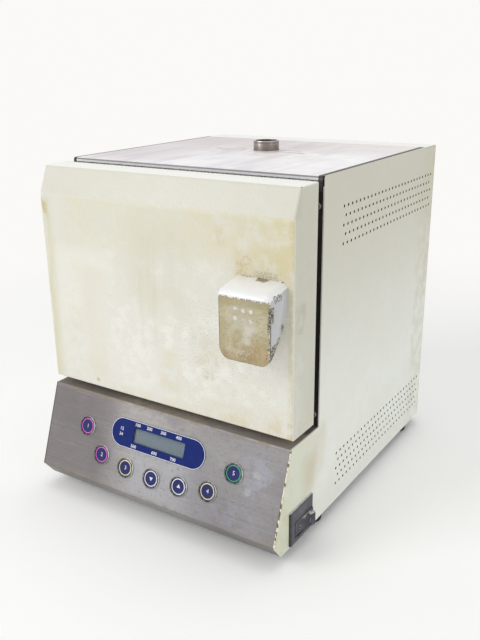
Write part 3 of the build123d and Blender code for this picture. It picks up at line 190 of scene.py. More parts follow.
class Graph:
    """The nodes of a material, or of the world, and the one method that adds to them."""

    def __init__(self, owner: bpy.types.Material | bpy.types.World) -> None:
        """Takes over the nodes of an owner.

        Args:
            owner: The material or world, whose nodes are cleared.
        """
        owner.use_nodes = True
        self.tree = owner.node_tree
        self.tree.nodes.clear()
        self.grains: dict[Grain, Signal] = {}

    def add(self, kind: str, settings: dict | None = None, values: dict | None = None,
            out: int | str = 0) -> Signal:
        """Adds one node.

        Args:
            kind: The node's type.
            settings: Its properties, set first.
            values: A number, colour or Signal for each input, by name or index.
            out: Which output comes back, by name or index.

        Returns:
            The chosen output.
        """
        node = self.tree.nodes.new(kind)
        for key, value in (settings or {}).items():
            setattr(node, key, value)
        for key, value in (values or {}).items():
            if isinstance(value, Signal):
                self.tree.links.new(value.socket, node.inputs[key])
            else:
                node.inputs[key].default_value = value
        return Signal(self, node.outputs[out])

    def show(self, shader: Signal, kind: str = "ShaderNodeOutputMaterial") -> None:
        """Links a shader to a new output node."""
        output = self.tree.nodes.new(kind)
        self.tree.links.new(shader.socket, output.inputs["Surface"])

    @cached_property
    def point(self) -> Signal:
        """The place on the object, in the frame's metres."""
        return self.add("ShaderNodeTexCoord", out="Object")

    def noise(self, scale: Point, detail: float, roughness: float = 0.5, lean: float = 0.0) -> Signal:
        """Noise over the object.

        Args:
            scale: How many waves there are in a metre, on each axis.
            detail: How many finer layers it has.
            roughness: How strong they are.
            lean: Its turn about Y, in degrees.

        Returns:
            The noise, from 0 to 1.
        """
        place = self.add("ShaderNodeMapping", {}, {
            "Vector": self.point, "Rotation": (0.0, radians(lean), 0.0), "Scale": scale})
        return self.add("ShaderNodeTexNoise", {}, {
            "Vector": place, "Scale": 1.0, "Detail": detail, "Roughness": roughness})

    def grain(self, grain: Grain) -> Signal:
        """One of the shared unevennesses.

        Args:
            grain: Which one.

        Returns:
            Its noise, made once in each graph.
        """
        if grain not in self.grains:
            self.grains[grain] = self.noise(*grain.value)
        return self.grains[grain]

    def rise(self, signal: Signal, low: float, high: float) -> Signal:
        """A smooth climb from 0 at low to 1 at high; it falls where low is the larger."""
        return self.add("ShaderNodeMapRange", {"interpolation_type": "SMOOTHSTEP", "clamp": True},
                        {"Value": signal, "From Min": low, "From Max": high})

    def patch(self, grain: Grain, low: float, high: float) -> Signal:
        """The patches of a grain: a climb from 0 to 1 between two of its levels."""
        return self.rise(self.grain(grain), low, high)

    def mix(self, share: Signal | float, first: Tint, second: Tint) -> Signal:
        """A blend of two colours."""
        return self.add("ShaderNodeMix", {"data_type": "RGBA"}, {0: share, 6: first, 7: second}, out=2)

    def mottle(self, under: Tint, tone: Tint, strength: float, grain: Grain, low: float,
               high: float) -> Signal:
        """A colour with the patches of a grain on it in another tone."""
        return self.mix(self.patch(grain, low, high) * strength, under, tone)

    def vector(self, operation: str, *operands: Signal | Sequence[float], out: int = 0) -> Signal:
        """One Vector Math node; its output 1 is a number."""
        return self.add("ShaderNodeVectorMath", {"operation": operation}, dict(enumerate(operands)), out)

    def along(self, direction: Vector, start: Vector) -> Signal:
        """The distance from a start along a direction, in metres."""
        return self.vector("DOT_PRODUCT", self.point, direction, out=1) - direction.dot(start)

    def over(self, z: float) -> Signal:
        """The height over a level in casing millimetres, in metres."""
        return self.along(UP, at(0.0, 0.0, z))

    def off_slope(self) -> Signal:
        """The height over the key panel's face, in metres."""
        return self.along(slope_axes()[1], at(0.0, -LEDGE_REACH, LEDGE_Z))

    def outside(self, low: Point, high: Point) -> Signal:
        """The distance outside a box.

        Args:
            low: The box's lowest corner, in casing millimetres.
            high: Its highest corner.

        Returns:
            The distance in metres, and 0 inside.
        """
        after = self.vector("SUBTRACT", self.point, at(*high))
        before = self.vector("SUBTRACT", at(*low), self.point)
        far = self.vector("MAXIMUM", self.vector("MAXIMUM", after, before), (0.0, 0.0, 0.0))
        return self.vector("LENGTH", far, out=1)

    def within(self, low: Point, high: Point, soft: float = 0.1) -> Signal:
        """1 inside a box given in casing millimetres, and 0 beyond its soft edge."""
        return self.rise(self.outside(low, high), soft * MM, 0.0)

    def scratches(self, lean: float, share: float) -> Signal:
        """Fine straight scratches on the key panel, leaning by an angle in degrees."""
        return self.rise(self.noise((28.0, 200.0, 1500.0), 2.0, lean=lean), 1.0 - share, 1.04 - share)

    def dots(self, pitch: float, radius: float, share: float) -> Signal:
        """Scattered round dots.

        Args:
            pitch: The mean distance between cells, in millimetres.
            radius: The dots' radius, in millimetres.
            share: The share of the cells that hold a dot.

        Returns:
            1 inside a dot and 0 outside.
        """
        values = {"Vector": self.point, "Scale": 1 / (pitch * MM), "Randomness": 1.0}
        near, tint = (self.add("ShaderNodeTexVoronoi", {"feature": "F1"}, values, out)
                      for out in ("Distance", "Color"))
        keep = self.add("ShaderNodeSeparateColor", {}, {"Color": tint})
        size = radius / pitch
        return self.rise(near, size, size * 0.6) * self.rise(keep, share, share - 0.02)

    def bump(self, height: Signal, depth: float) -> Signal:
        """A bump of a depth in millimetres."""
        return self.add("ShaderNodeBump", {}, {"Height": height, "Distance": depth * MM, "Strength": 1.0})


# Marks on a surface

# How far a stain's grain lets it through: the levels where it starts and where it is full
SPARSE, WIDE, EVEN = (0.38, 0.62), (0.3, 0.6), (-2.0, -1.0)


@dataclass(frozen=True)
class Spot:
    """A place on a surface: a box in casing millimetres with a soft edge."""

    low: Point
    high: Point
    soft: float

    def near(self, graph: Graph) -> Signal:
        """1 inside the box, falling to 0 over its edge."""
        return graph.within(self.low, self.high, self.soft)

    def mask(self, graph: Graph) -> Signal:
        """How much of the spot shows at each point."""
        raise NotImplementedError

    def over(self, graph: Graph, colour: Tint) -> Signal:
        """A surface's colour with the spot on it."""
        return graph.mix(self.mask(graph), colour, self.colour)


@dataclass(frozen=True)
class StainAndLight(Spot):
    """A discoloured place, or a tint of painted light and shade; with a front, it shows only before that Y.
    """

    colour: Colour
    strength: float = 0.7
    grain: Grain = Grain.MOTTLED
    cover: tuple[float, float] = SPARSE
    front: float | None = None

    def mask(self, graph: Graph) -> Signal:
        """How much of the stain shows.

        Args:
            graph: The finish's nodes.

        Returns:
            The share at each point.
        """
        near = self.near(graph)
        if self.front is not None:
            near = near * graph.rise(graph.along(BACK, at(0.0, self.front, 0.0)), 0.0005, -0.0002)
        return near * graph.patch(self.grain, *self.cover) * self.strength


@dataclass(frozen=True)
class ChipsAndShade(Spot):
    """Paint flaked off to something darker; also used for broken lines of painted shade."""

    colour: Colour
    bare: float = 0.52
    pale: Colour | None = None

    def tone(self, graph: Graph) -> Tint:
        """The bare ground's colour.

        Args:
            graph: The finish's nodes.

        Returns:
            The colour, speckled where it has a paler tone.
        """
        if self.pale is None:
            return self.colour
        return graph.mix(graph.patch(Grain.FINE, 0.50, 0.60), self.colour, self.pale)

    def mask(self, graph: Graph) -> Signal:
        """1 where the paint is gone."""
        worn = graph.grain(Grain.CHIPPED) + self.near(graph) * 0.5
        return graph.rise(worn, self.bare + 0.48, self.bare + 0.52)


@dataclass(frozen=True)
class Pepper(Spot):
    """Fine dark specks."""

    pitch: float = 3.4
    radius: float = 0.5
    share: float = 0.5
    strength: float = 0.7
    colour: Colour = (0.162, 0.127, 0.073, 1.0)

    def mask(self, graph: Graph) -> Signal:
        """1 on a speck."""
        return graph.dots(self.pitch, self.radius, self.share) * self.near(graph) * self.strength


@dataclass(frozen=True)
class SmudgeAndLight(Spot):
    """A wiped, dusty or greasy place on bare steel; also used for painted light."""

    colour: Colour
    strength: float
    roughness: float = 0.15
    dusty: float = 0.0
    even: bool = False

    def mask(self, graph: Graph) -> Signal:
        """How much of the smudge shows."""
        patch = self.near(graph) * self.strength
        return patch if self.even else patch * graph.patch(Grain.MOTTLED, 0.36, 0.66)


# Finishes


@dataclass(frozen=True)
class Finish:
    """What finishes share: a name, and the making of the material."""

    name: str

    def make(self) -> bpy.types.Material:
        """Builds the material.

        Returns:
            A material of that name with one shader.
        """
        material = bpy.data.materials.new(self.name)
        graph = Graph(material)
        graph.show(graph.add("ShaderNodeBsdfPrincipled", {}, self.shade(graph)))
        return material

    def shade(self, graph: Graph) -> Values:
        """What each socket of the shader gets."""
        raise NotImplementedError


@dataclass(frozen=True)
class Enamel(Finish):
    """Old sprayed enamel: two tones, stains, specks, chips and a faint orange peel."""

    upper: Colour
    lower: Colour
    # Stains, and on the door and the rear strip also painted light and shade
    stains: tuple[StainAndLight, ...] = ()
    pepper: tuple[Pepper, ...] = ()
    chips: tuple[ChipsAndShade, ...] = ()
    roughness: float = 0.38
    yellowing: float = 0.2
    dirt: float = 0.2
    fade_from: float = 130.0
    fade_to: float = 340.0

    def base(self, graph: Graph) -> Signal:
        """The stained colour before chips.

        Args:
            graph: The finish's nodes.

        Returns:
            The colour.
        """
        height = graph.rise(graph.over(0.0), self.fade_from * MM, self.fade_to * MM)
        colour = graph.mix(height, self.lower, self.upper)
        colour = graph.mottle(colour, srgb(214, 208, 184), self.yellowing, Grain.MOTTLED, 0.42, 0.72)
        colour = graph.mottle(colour, srgb(226, 221, 204), self.yellowing * 1.6, Grain.BROAD, 0.40, 0.66)
        for spot in (*self.stains, *self.pepper):
            colour = spot.over(graph, colour)
        return graph.mottle(colour, srgb(196, 190, 168), self.dirt * 0.35, Grain.CHIPPED, 0.44, 0.66)

    def chipped(self, graph: Graph, colour: Signal) -> tuple[Signal, Signal | float]:
        """Puts the chips on a colour.

        Args:
            graph: The finish's nodes.
            colour: The colour before chips.

        Returns:
            The chipped colour, and where the paint is gone.
        """
        gone: Signal | float = 0.0
        for chip in self.chips:
            mask = chip.mask(graph)
            colour = graph.mix(mask, colour, chip.tone(graph))
            gone = mask | gone
        return colour, gone

    def shade(self, graph: Graph) -> Values:
        """What each socket of the shader gets.

        Args:
            graph: The finish's nodes.

        Returns:
            The values by the sockets' names.
        """
        colour, gone = self.chipped(graph, self.base(graph))
        peel = graph.grain(Grain.FLAKED) * 0.3 + graph.grain(Grain.MOTTLED) - gone * 3.0
        rough = graph.patch(Grain.MOTTLED, 0.2, 0.9) * 0.16 + self.roughness
        return {"Base Color": colour, "Roughness": rough + gone * 0.25, "Normal": graph.bump(peel, 0.03)}


@dataclass(frozen=True)
class BareSteel(Finish):
    """Brushed stainless sheet with fine lines along X, specks and smudges."""

    tone: Colour
    dull: Colour
    smudges: tuple[SmudgeAndLight, ...] = ()
    roughness: float = 0.36
    lines: float = 0.35
    metallic: float = 1.0

    def worn(self, graph: Graph, colour: Signal) -> Signal:
        """The colour with the wear, and on the top plate the painted shade, that only one sheet has."""
        return colour

    def shade(self, graph: Graph) -> Values:
        """What each socket of the shader gets.

        Args:
            graph: The finish's nodes.

        Returns:
            The values by the sockets' names.
        """
        brushed = graph.grain(Grain.LEVEL)
        colour = graph.mix(graph.patch(Grain.BROAD, 0.35, 0.7), self.tone, self.dull)
        colour = graph.mottle(colour, self.dull, self.lines, Grain.LEVEL, 0.3, 0.75)
        rough = graph.rise(brushed, 0.2, 0.8) * 0.14 + self.roughness
        rough = graph.patch(Grain.BROAD, 0.3, 0.8) * 0.1 + rough
        shine: Signal | float = self.metallic
        for smudge in self.smudges:
            mask = smudge.mask(graph)
            colour = graph.mix(mask, colour, smudge.colour)
            rough = rough + mask * smudge.roughness
            if smudge.dusty:
                shine = shine - mask * smudge.dusty
        colour = graph.mix(graph.dots(9.0, 0.45, 0.35) * 0.5, colour, srgb(214, 206, 196))
        relief = brushed * 0.5 + graph.grain(Grain.FINE) * 0.3
        return {"Base Color": self.worn(graph, colour), "Roughness": rough, "Metallic": shine,
                "Normal": graph.bump(relief, 0.012)}


@dataclass(frozen=True)
class FasciaSteel(BareSteel):
    """The key panel's steel, with fine scratches and dark flecks."""

    scratched: float = 0.4

    def worn(self, graph: Graph, colour: Signal) -> Signal:
        """The scratched colour."""
        lines = (graph.scratches(24.0, 0.36) | graph.scratches(-58.0, 0.34)) * self.scratched * 0.35
        return graph.mottle(graph.mix(lines, colour, srgb(214, 212, 212)), srgb(112, 104, 98),
                            self.scratched, Grain.FLAKED, 0.5, 0.7)


@dataclass(frozen=True)
class TopSteel(BareSteel):
    """The top plate's steel, with fine brown creases either side of the flue, and painted shade at bends and
    seams.
    """

    # Each crease: from X, to X, at Y, lean in radians
    creases: tuple[tuple[float, float, float, float], ...] = (
        (-62.0, -15.0, 140.0, 0.10), (-44.0, -14.0, 124.0, 0.42), (15.0, 46.0, 146.0, 0.30),
        (18.0, 60.0, 138.0, -0.12),
    )

    def crease(self, graph: Graph, wave: Signal, low: float, high: float, y: float,
               lean: float) -> Signal:
        """One thin wavy line on the plate.

        Args:
            graph: The finish's nodes.
            wave: The noise that bends the line.
            low: Its start's X.
            high: Its end's X.
            y: Its start's Y.
            lean: Its angle from X, in radians.

        Returns:
            1 on the line.
        """
        run, start = Vector((cos(lean), sin(lean), 0.0)), at(low, y, TOP_Z)
        across = graph.along(Vector((-run.y, run.x, 0.0)), start) + (wave - 0.5) * 0.012
        reach, length = graph.along(run, start), (high - low) * MM
        inside = graph.rise(reach, 0.0, 0.003) * graph.rise(reach, length, length - 0.004)
        return graph.rise(across * across, 0.0000026, 0.0000005) * inside

    def worn(self, graph: Graph, colour: Signal) -> Signal:
        """The plate's colour with its creases, and painted shade as dark lines along its folds and seams.

        Args:
            graph: The finish's nodes.
            colour: The smudged steel.

        Returns:
            The colour.
        """
        wave = graph.noise((60.0, 60.0, 60.0), 4.0)
        marks: Signal | float = 0.0
        for row in self.creases:
            marks = self.crease(graph, wave, *row) | marks
        height = graph.over(TOP_Z)
        level = graph.rise(height, -0.0006, -0.0002)
        streaks = graph.rise(graph.noise((60.0, 7.0, 60.0), 5.0), 0.46, 0.68)
        colour = graph.mix(streaks * level * 0.38, colour, srgb(196, 190, 202))
        colour = graph.mix(marks * level * 0.85, colour, srgb(108, 82, 56))
        # painted shade: a dark line on the front bend in place of its highlight, and a dark band on the apron
        # under the door's top
        bend_shade = graph.rise(height, -0.0003, -0.0009) * graph.rise(height, -0.0024, -0.0016)
        apron_shade = graph.rise(height, -0.0036, -0.0044) * graph.rise(height, -0.0075, -0.0060)
        broken = graph.patch(Grain.CHIPPED, 0.42, 0.56) * 0.4 + 0.6
        colour = graph.mix((bend_shade * 0.8) | apron_shade * broken, colour, srgb(58, 52, 50))
        # painted shade: dark lines in the seams along both sides
        across = graph.along(ACROSS, at(0.0, 0.0, 0.0))
        seam_shade = graph.rise(across, 0.1432, 0.1438) | graph.rise(across, -0.1455, -0.1460)
        return graph.mix(seam_shade * 0.9, colour, srgb(40, 36, 34))


@dataclass(frozen=True)
class Metal(Finish):
    """A plain metal part with a little tarnish in its pits."""

    colour: Colour
    tarnish: Colour
    roughness: float = 0.3
    amount: float = 0.5
    metallic: float = 1.0

    def shade(self, graph: Graph) -> Values:
        """What each socket of the shader gets.

        Args:
            graph: The finish's nodes.

        Returns:
            The values by the sockets' names.
        """
        patch = graph.patch(Grain.MOTTLED, 0.42, 0.7) * self.amount
        fine = graph.grain(Grain.FLAKED)
        return {"Base Color": graph.mix(patch, self.colour, self.tarnish),
                "Roughness": patch * 0.25 + fine * 0.08 + self.roughness, "Metallic": self.metallic,
                "Normal": graph.bump(fine, 0.01)}


@dataclass(frozen=True)
class Bezel(Metal):
    """A chromed ring whose flat top, beside the key, is dull, with painted shade and dark reflection on it.
    """

    flat: float = 1.42

    def shade(self, graph: Graph) -> Values:
        """What each socket of the shader gets.

        Args:
            graph: The finish's nodes.

        Returns:
            The values by the sockets' names.
        """
        high = graph.rise(graph.off_slope(), (self.flat - 0.08) * MM, (self.flat + 0.08) * MM)
        blotches = graph.patch(Grain.FLAKED, 0.40, 0.62)
        colour = graph.mottle(self.colour, self.tarnish, self.amount, Grain.MOTTLED, 0.42, 0.7)
        # painted shade and dark reflection on the flat top beside the key
        colour = graph.mix(high * (blotches * 0.2 + 0.75), colour, srgb(38, 34, 38))
        return {"Base Color": colour, "Roughness": high * 0.2 + blotches * 0.1 + self.roughness,
                "Metallic": self.metallic, "Normal": graph.bump(blotches, 0.01)}


@dataclass(frozen=True)
class Pipe(Metal):
    """Steel tube, tarnished by heat, with a bright cut rim and a sooty bore."""

    bore: float = 12.9
    rim_z: float = 368.1

    def shade(self, graph: Graph) -> Values:
        """What each socket of the shader gets.

        Args:
            graph: The finish's nodes.

        Returns:
            The values by the sockets' names.
        """
        patch = graph.patch(Grain.MOTTLED, 0.38, 0.66) * self.amount
        height = graph.over(self.rim_z)
        lip = graph.rise(height, -0.0002, 0.0002)
        colour = graph.mix(patch, self.colour, self.tarnish)
        colour = graph.mix(graph.rise(height, -0.003, -0.010) * 0.35, colour, srgb(96, 80, 68))
        colour = graph.mix(lip * 0.8, colour, srgb(214, 208, 204))
        inside = graph.rise(graph.outside((0.0, FLUE_Y, 0.0), (0.0, FLUE_Y, 400.0)),
                            self.bore * MM, (self.bore - 0.2) * MM) * (1.0 - lip)
        return {"Base Color": graph.mix(inside, colour, srgb(44, 36, 32)), "Metallic": 1.0 - inside,
                "Roughness": patch * 0.2 + inside * 0.5 + self.roughness,
                "Normal": graph.bump(graph.grain(Grain.FLAKED), 0.01)}


@dataclass(frozen=True)
class Scuffed(Finish):
    """Black switch plastic, scuffed grey, with its top edges rubbed pale and partly painted light, and
    painted shade.
    """

    colour: Colour
    scuff: Colour
    pale: Colour
    # Boxes in casing millimetres where the plastic is palest: rubbed, and partly painted light on its top
    # edges
    rubbed: tuple[tuple[Point, Point], ...]
    # Boxes in casing millimetres that hold painted shade in near black
    shaded_boxes: tuple[tuple[Point, Point], ...] = ()

    def shade(self, graph: Graph) -> Values:
        """What each socket of the shader gets.

        Args:
            graph: The finish's nodes.

        Returns:
            The values by the sockets' names.
        """
        worn = graph.patch(Grain.MOTTLED, 0.42, 0.66)
        colour = graph.mix(worn * 0.45, self.colour, self.scuff)
        colour = graph.mix(graph.patch(Grain.CHIPPED, 0.60, 0.68) * worn * 0.6, colour, self.pale)
        # painted shade in the given boxes, broken by a patchy grain
        for low, high in self.shaded_boxes:
            blotches = graph.within(low, high, 0.5) * graph.patch(Grain.CHIPPED, 0.34, 0.46)
            colour = graph.mix(blotches * 0.9, colour, srgb(22, 22, 24))
        # rubbed pale, and partly painted light where top edges and faces look up
        for low, high in self.rubbed:
            pale = graph.within(low, high, 0.5) * (graph.patch(Grain.CHIPPED, 0.36, 0.5) * 0.6 + 0.35)
            colour = graph.mix(pale, colour, self.pale)
        return {"Base Color": colour, "Roughness": worn * 0.2 + 0.4,
                "Normal": graph.bump(graph.grain(Grain.FINE), 0.03)}


@dataclass(frozen=True)
class Moulded(Finish):
    """Moulded plastic or rubber with a fine grain, rubbed paler in places."""

    colour: Colour
    rubbed: Colour
    roughness: float = 0.45
    amount: float = 0.4
    relief: float = 0.02
    gloss: float = 0.5

    def shade(self, graph: Graph) -> Values:
        """What each socket of the shader gets.

        Args:
            graph: The finish's nodes.

        Returns:
            The values by the sockets' names.
        """
        fine = graph.grain(Grain.FINE)
        worn = graph.patch(Grain.MOTTLED, 0.46, 0.74) * self.amount
        return {"Base Color": graph.mix(worn, self.colour, self.rubbed),
                "Roughness": worn * 0.2 + fine * 0.1 + self.roughness,
                "Normal": graph.bump(fine, self.relief), "Specular IOR Level": self.gloss}


@dataclass(frozen=True)
class Fibre(Finish):
    """Pressed ceramic fibre: a matt, faintly matted face with heat stains and soot."""

    colour: Colour
    singed: Colour
    relief: float = 0.25
    soot: tuple[StainAndLight, ...] = ()

    def shade(self, graph: Graph) -> Values:
        """What each socket of the shader gets.

        Args:
            graph: The finish's nodes.

        Returns:
            The values by the sockets' names.
        """
        mat = graph.grain(Grain.FLAKED)
        colour = graph.mottle(self.colour, self.singed, 0.6, Grain.MOTTLED, 0.4, 0.75)
        for stain in self.soot:
            colour = stain.over(graph, colour)
        return {"Base Color": colour, "Roughness": mat * 0.1 + 0.85, "Sheen Weight": 0.2,
                "Normal": graph.bump(mat + graph.grain(Grain.MOTTLED), self.relief)}


@dataclass(frozen=True)
class HandleEnamel(Enamel):
    """The handle's enamel, worn through to khaki primer on its front and flaked on its right side, with
    painted shade on that side and below.
    """

    front: float = -84.5
    primer: Colour = srgb(176, 163, 122)
    primer_pale: Colour = srgb(196, 187, 158)
    rust: Colour = srgb(184, 148, 98)
    worn_low: Point = (90.0, -87.0, 198.0)
    worn_high: Point = (142.6, -83.6, 262.6)
    # Each pale spot: X, Z, strength
    spots: tuple[Point, ...] = (
        (110.7, 254.4, 0.75), (118.4, 254.0, 0.85), (126.4, 254.2, 1.0),
        (110.6, 246.2, 0.9), (118.8, 245.2, 0.3), (126.0, 245.6, 0.6),
    )

    def worn_face(self, graph: Graph) -> Signal:
        """Where the front's enamel is rubbed away.

        Args:
            graph: The finish's nodes.

        Returns:
            1 there, with a ragged edge.
        """
        reach = graph.outside(self.worn_low, self.worn_high)
        reach = reach + (graph.grain(Grain.FLAKED) - 0.5) * 0.006
        return graph.rise(reach + (graph.grain(Grain.CHIPPED) - 0.5) * 0.004, 0.0012, 0.0008)

    def primer_colour(self, graph: Graph) -> Signal:
        """The mottled primer with its pale spots, speckles and rust.

        Args:
            graph: The finish's nodes.

        Returns:
            The colour.
        """
        low, high = self.front - 4.0, self.front + 4.0
        colour = graph.mix(graph.patch(Grain.MOTTLED, 0.36, 0.66), self.primer, self.primer_pale)
        colour = graph.mottle(colour, srgb(206, 200, 178), 0.5, Grain.FLAKED, 0.52, 0.68)
        colour = graph.mottle(colour, srgb(128, 114, 76), 0.22, Grain.CHIPPED, 0.52, 0.42)
        for spot in (
            StainAndLight((112.0, low, 240.0), (126.0, high, 258.0), 12.0, srgb(190, 184, 162), 0.6,
                  cover=(0.3, 0.5)),
            StainAndLight((104.0, low, 222.0), (124.0, high, 240.0), 12.0, srgb(192, 188, 170), 0.75),
            StainAndLight((122.0, low, 226.0), (128.0, high, 238.0), 6.0, srgb(206, 200, 188), 0.75),
            StainAndLight((92.0, low, 259.0), (144.0, high, 266.0), 3.0, srgb(150, 136, 92), 0.6, cover=WIDE),
            StainAndLight((132.0, low, 209.0), (144.0, high, 220.0), 10.0, self.rust, 0.6, cover=WIDE),
            StainAndLight((90.0, low, 205.0), (98.0, high, 240.0), 7.0, srgb(160, 140, 92), 0.6),
            StainAndLight((92.0, low, 200.0), (146.0, high, 212.0), 5.0, srgb(150, 122, 78), 0.6),
            StainAndLight((120.0, low, 212.0), (132.0, high, 220.0), 7.0, srgb(150, 118, 66), 0.6, Grain.FLAKED),
            Pepper((104.0, low, 212.0), (118.0, high, 222.0), 7.0, 1.5, 0.5, 0.75, 0.9,
                   srgb(224, 220, 208)),
            Pepper((96.0, low, 206.0), (140.0, high, 244.0), 10.0, 3.1, 0.5, 0.35, 0.7,
                   srgb(108, 96, 62)),
        ):
            colour = spot.over(graph, colour)
        ragged = (graph.grain(Grain.CHIPPED) - 0.5) * 0.0038
        for x, z, strength in self.spots:
            gap = graph.outside((x, low, z), (x, high, z)) + ragged
            colour = graph.mix(graph.rise(gap, 0.0024, 0.0012) * strength * 0.9, colour, srgb(226, 217, 224))
        return colour

    def shade(self, graph: Graph) -> Values:
        """What each socket of the shader gets.

        Args:
            graph: The finish's nodes.

        Returns:
            The values by the sockets' names.
        """
        worn = self.worn_face(graph)
        # painted shade: the right side and the lower right underside are tinted grey, as for faces turned
        # from the lamps
        flank_shade = graph.within((143.9, self.front + 1.0, 200.0), (146.0, DOOR_FRONT, 276.0), 0.5)
        flank_shade = graph.within((119.0, self.front + 3.0, 200.0), (146.0, DOOR_FRONT, 215.0), 1.0) | flank_shade
        colour = graph.mix(flank_shade * 0.85, self.base(graph), srgb(180, 182, 184))
        colour, gone = self.chipped(graph, graph.mix(worn, colour, self.primer_colour(graph)))
        rim = graph.rise(graph.outside(self.worn_low, self.worn_high), 0.0034, 0.0012) * (1.0 - worn)
        colour = graph.mix(rim * graph.patch(Grain.CHIPPED, 0.47, 0.53) * 0.8, colour, srgb(96, 88, 64))
        edge = graph.within((93.0, self.front - 1.0, 212.0), (94.1, self.front + 1.2, 262.0), 0.3)
        bare = worn | gone
        relief = graph.grain(Grain.FLAKED) * 0.4 - bare * 2.0
        return {"Base Color": graph.mix(edge * 0.75, colour, srgb(92, 78, 56)),
                "Roughness": bare * 0.34 + self.roughness, "Normal": graph.bump(relief, 0.06),
                "Coat Weight": (1.0 - bare) * 0.6, "Coat Roughness": 0.08}


@dataclass(frozen=True)
class PanelEnamel(Enamel):
    """The side panels' enamel, with the broken paint line on the slanting front edge, and painted shade."""

    edge_depth: float = 0.9
    # Vent bands, whose holes get painted shade: low Z, high Z
    bands: tuple[tuple[float, float], ...] = ((28.0, 74.0), (284.0, 331.0))

    def base(self, graph: Graph) -> Signal:
        """The panel's colour, with flakes on its slanting edge, and painted shade in vent holes and seam.

        Args:
            graph: The finish's nodes.

        Returns:
            The colour.
        """
        across = graph.along(ACROSS, at(0.0, 0.0, 0.0))
        # painted shade: inside the sheet's face, the vent holes' walls and the seam under the top plate are
        # near black
        shaded_inside = graph.rise(abs(across), (HALF_WIDTH - 0.12) * MM, (HALF_WIDTH - 0.2) * MM)
        dark = graph.within((-151.0, -1.0, TOP_Z - 9.0), (151.0, 249.8, TOP_Z - 0.4), 0.2)
        for low_z, high_z in self.bands:
            dark = graph.within((-151.0, 34.0, low_z), (151.0, 280.0, high_z)) | dark
        colour = graph.mix(shaded_inside * dark, super().base(graph), srgb(44, 40, 38))
        face = graph.rise(graph.off_slope(), -self.edge_depth * MM, (0.2 - self.edge_depth) * MM)
        flakes = graph.rise(graph.noise((260.0, 260.0, 260.0), 3.0), 0.47, 0.53)
        flaked = graph.mix(flakes, srgb(238, 232, 212), srgb(112, 88, 62))
        flaked = graph.mix(graph.rise(across, 0.0, 0.001), srgb(96, 84, 70), flaked)
        return graph.mix(face * graph.rise(graph.over(LEDGE_Z), 0.001, -0.001), colour, flaked)


@dataclass(frozen=True)
class DisplayGlass(Finish):
    """The display's grey-green glass with its faint rows of character cells and a painted shadow at its top.
    """

    # Each direction: pitch, how many cells, size of a cell
    across: Point = (3.55, 16, 2.95)
    down: Point = (5.94, 2, 5.4)

    def shade(self, graph: Graph) -> Values:
        """What each socket of the shader gets.

        Args:
            graph: The finish's nodes.

        Returns:
            The values by the sockets' names.
        """
        start = on_slope(WINDOW_X, LABEL_DOWN).translation
        climb = graph.along(slope_axes()[0], start)
        inside: Signal | float = 1.0
        for place, (pitch, count, size) in ((graph.along(ACROSS, start), self.across), (climb, self.down)):
            gap = abs(place.wrapped(pitch * MM) - pitch * MM / 2)
            for distance, reach in ((gap, size / 2 * MM), (abs(place), count * pitch / 2 * MM)):
                inside = graph.rise(distance, reach, reach - 0.0001) * inside
        colour = graph.mix(graph.grain(Grain.BROAD), srgb(118, 130, 140), srgb(110, 122, 134))
        colour = graph.mix(inside * 0.22, colour, srgb(104, 118, 118))
        # painted shadow: the glass is darker towards its top
        colour = graph.mix(graph.rise(climb, 0.0035, 0.0085) * 0.5, colour, srgb(84, 92, 98))
        return {"Base Color": colour, "Roughness": graph.grain(Grain.FINE) * 0.05 + 0.16,
                "Normal": graph.bump(inside, 0.01)}


@dataclass(frozen=True)
class ClearWindow(Finish):
    """The clear window, with wipe marks in its gloss."""

    def shade(self, graph: Graph) -> Values:
        """What each socket of the shader gets."""
        wiped = graph.patch(Grain.MOTTLED, 0.4, 0.7)
        return {"Base Color": (0.92, 0.95, 0.95, 1.0), "Roughness": wiped * 0.12 + 0.06,
                "Transmission Weight": 1.0, "IOR": 1.15, "Alpha": wiped * 0.06 + 0.12}


@dataclass(frozen=True)
class CircuitBoard(Finish):
    """A green board with faint copper runs under its lacquer."""

    colour: Colour = srgb(38, 92, 58)
    copper: Colour = srgb(72, 128, 78)

    def shade(self, graph: Graph) -> Values:
        """What each socket of the shader gets.

        Args:
            graph: The finish's nodes.

        Returns:
            The values by the sockets' names.
        """
        runs, edge = (graph.add("ShaderNodeTexBrick", {"offset": 0.5}, {
            "Vector": graph.point, "Scale": 90.0, "Mortar Size": 0.06, "Color1": self.colour,
            "Color2": self.colour, "Mortar": self.copper}, out) for out in (0, 1))
        return {"Base Color": runs, "Roughness": graph.grain(Grain.FINE) * 0.1 + 0.35,
                "Normal": graph.bump(edge, 0.03)}


def on_face(x0: float, z0: float, x1: float, z1: float, soft: float, colour: Colour, strength: float,
            grain: Grain = Grain.MOTTLED, cover: tuple[float, float] = SPARSE) -> StainAndLight:
    """A stain on the door's front alone, from X and Z to X and Z."""
    return StainAndLight((x0, DOOR_FRONT - 2.0, z0), (x1, DOOR_FRONT + 3.0, z1), soft, colour, strength, grain,
                 cover, DOOR_FRONT + 0.7)


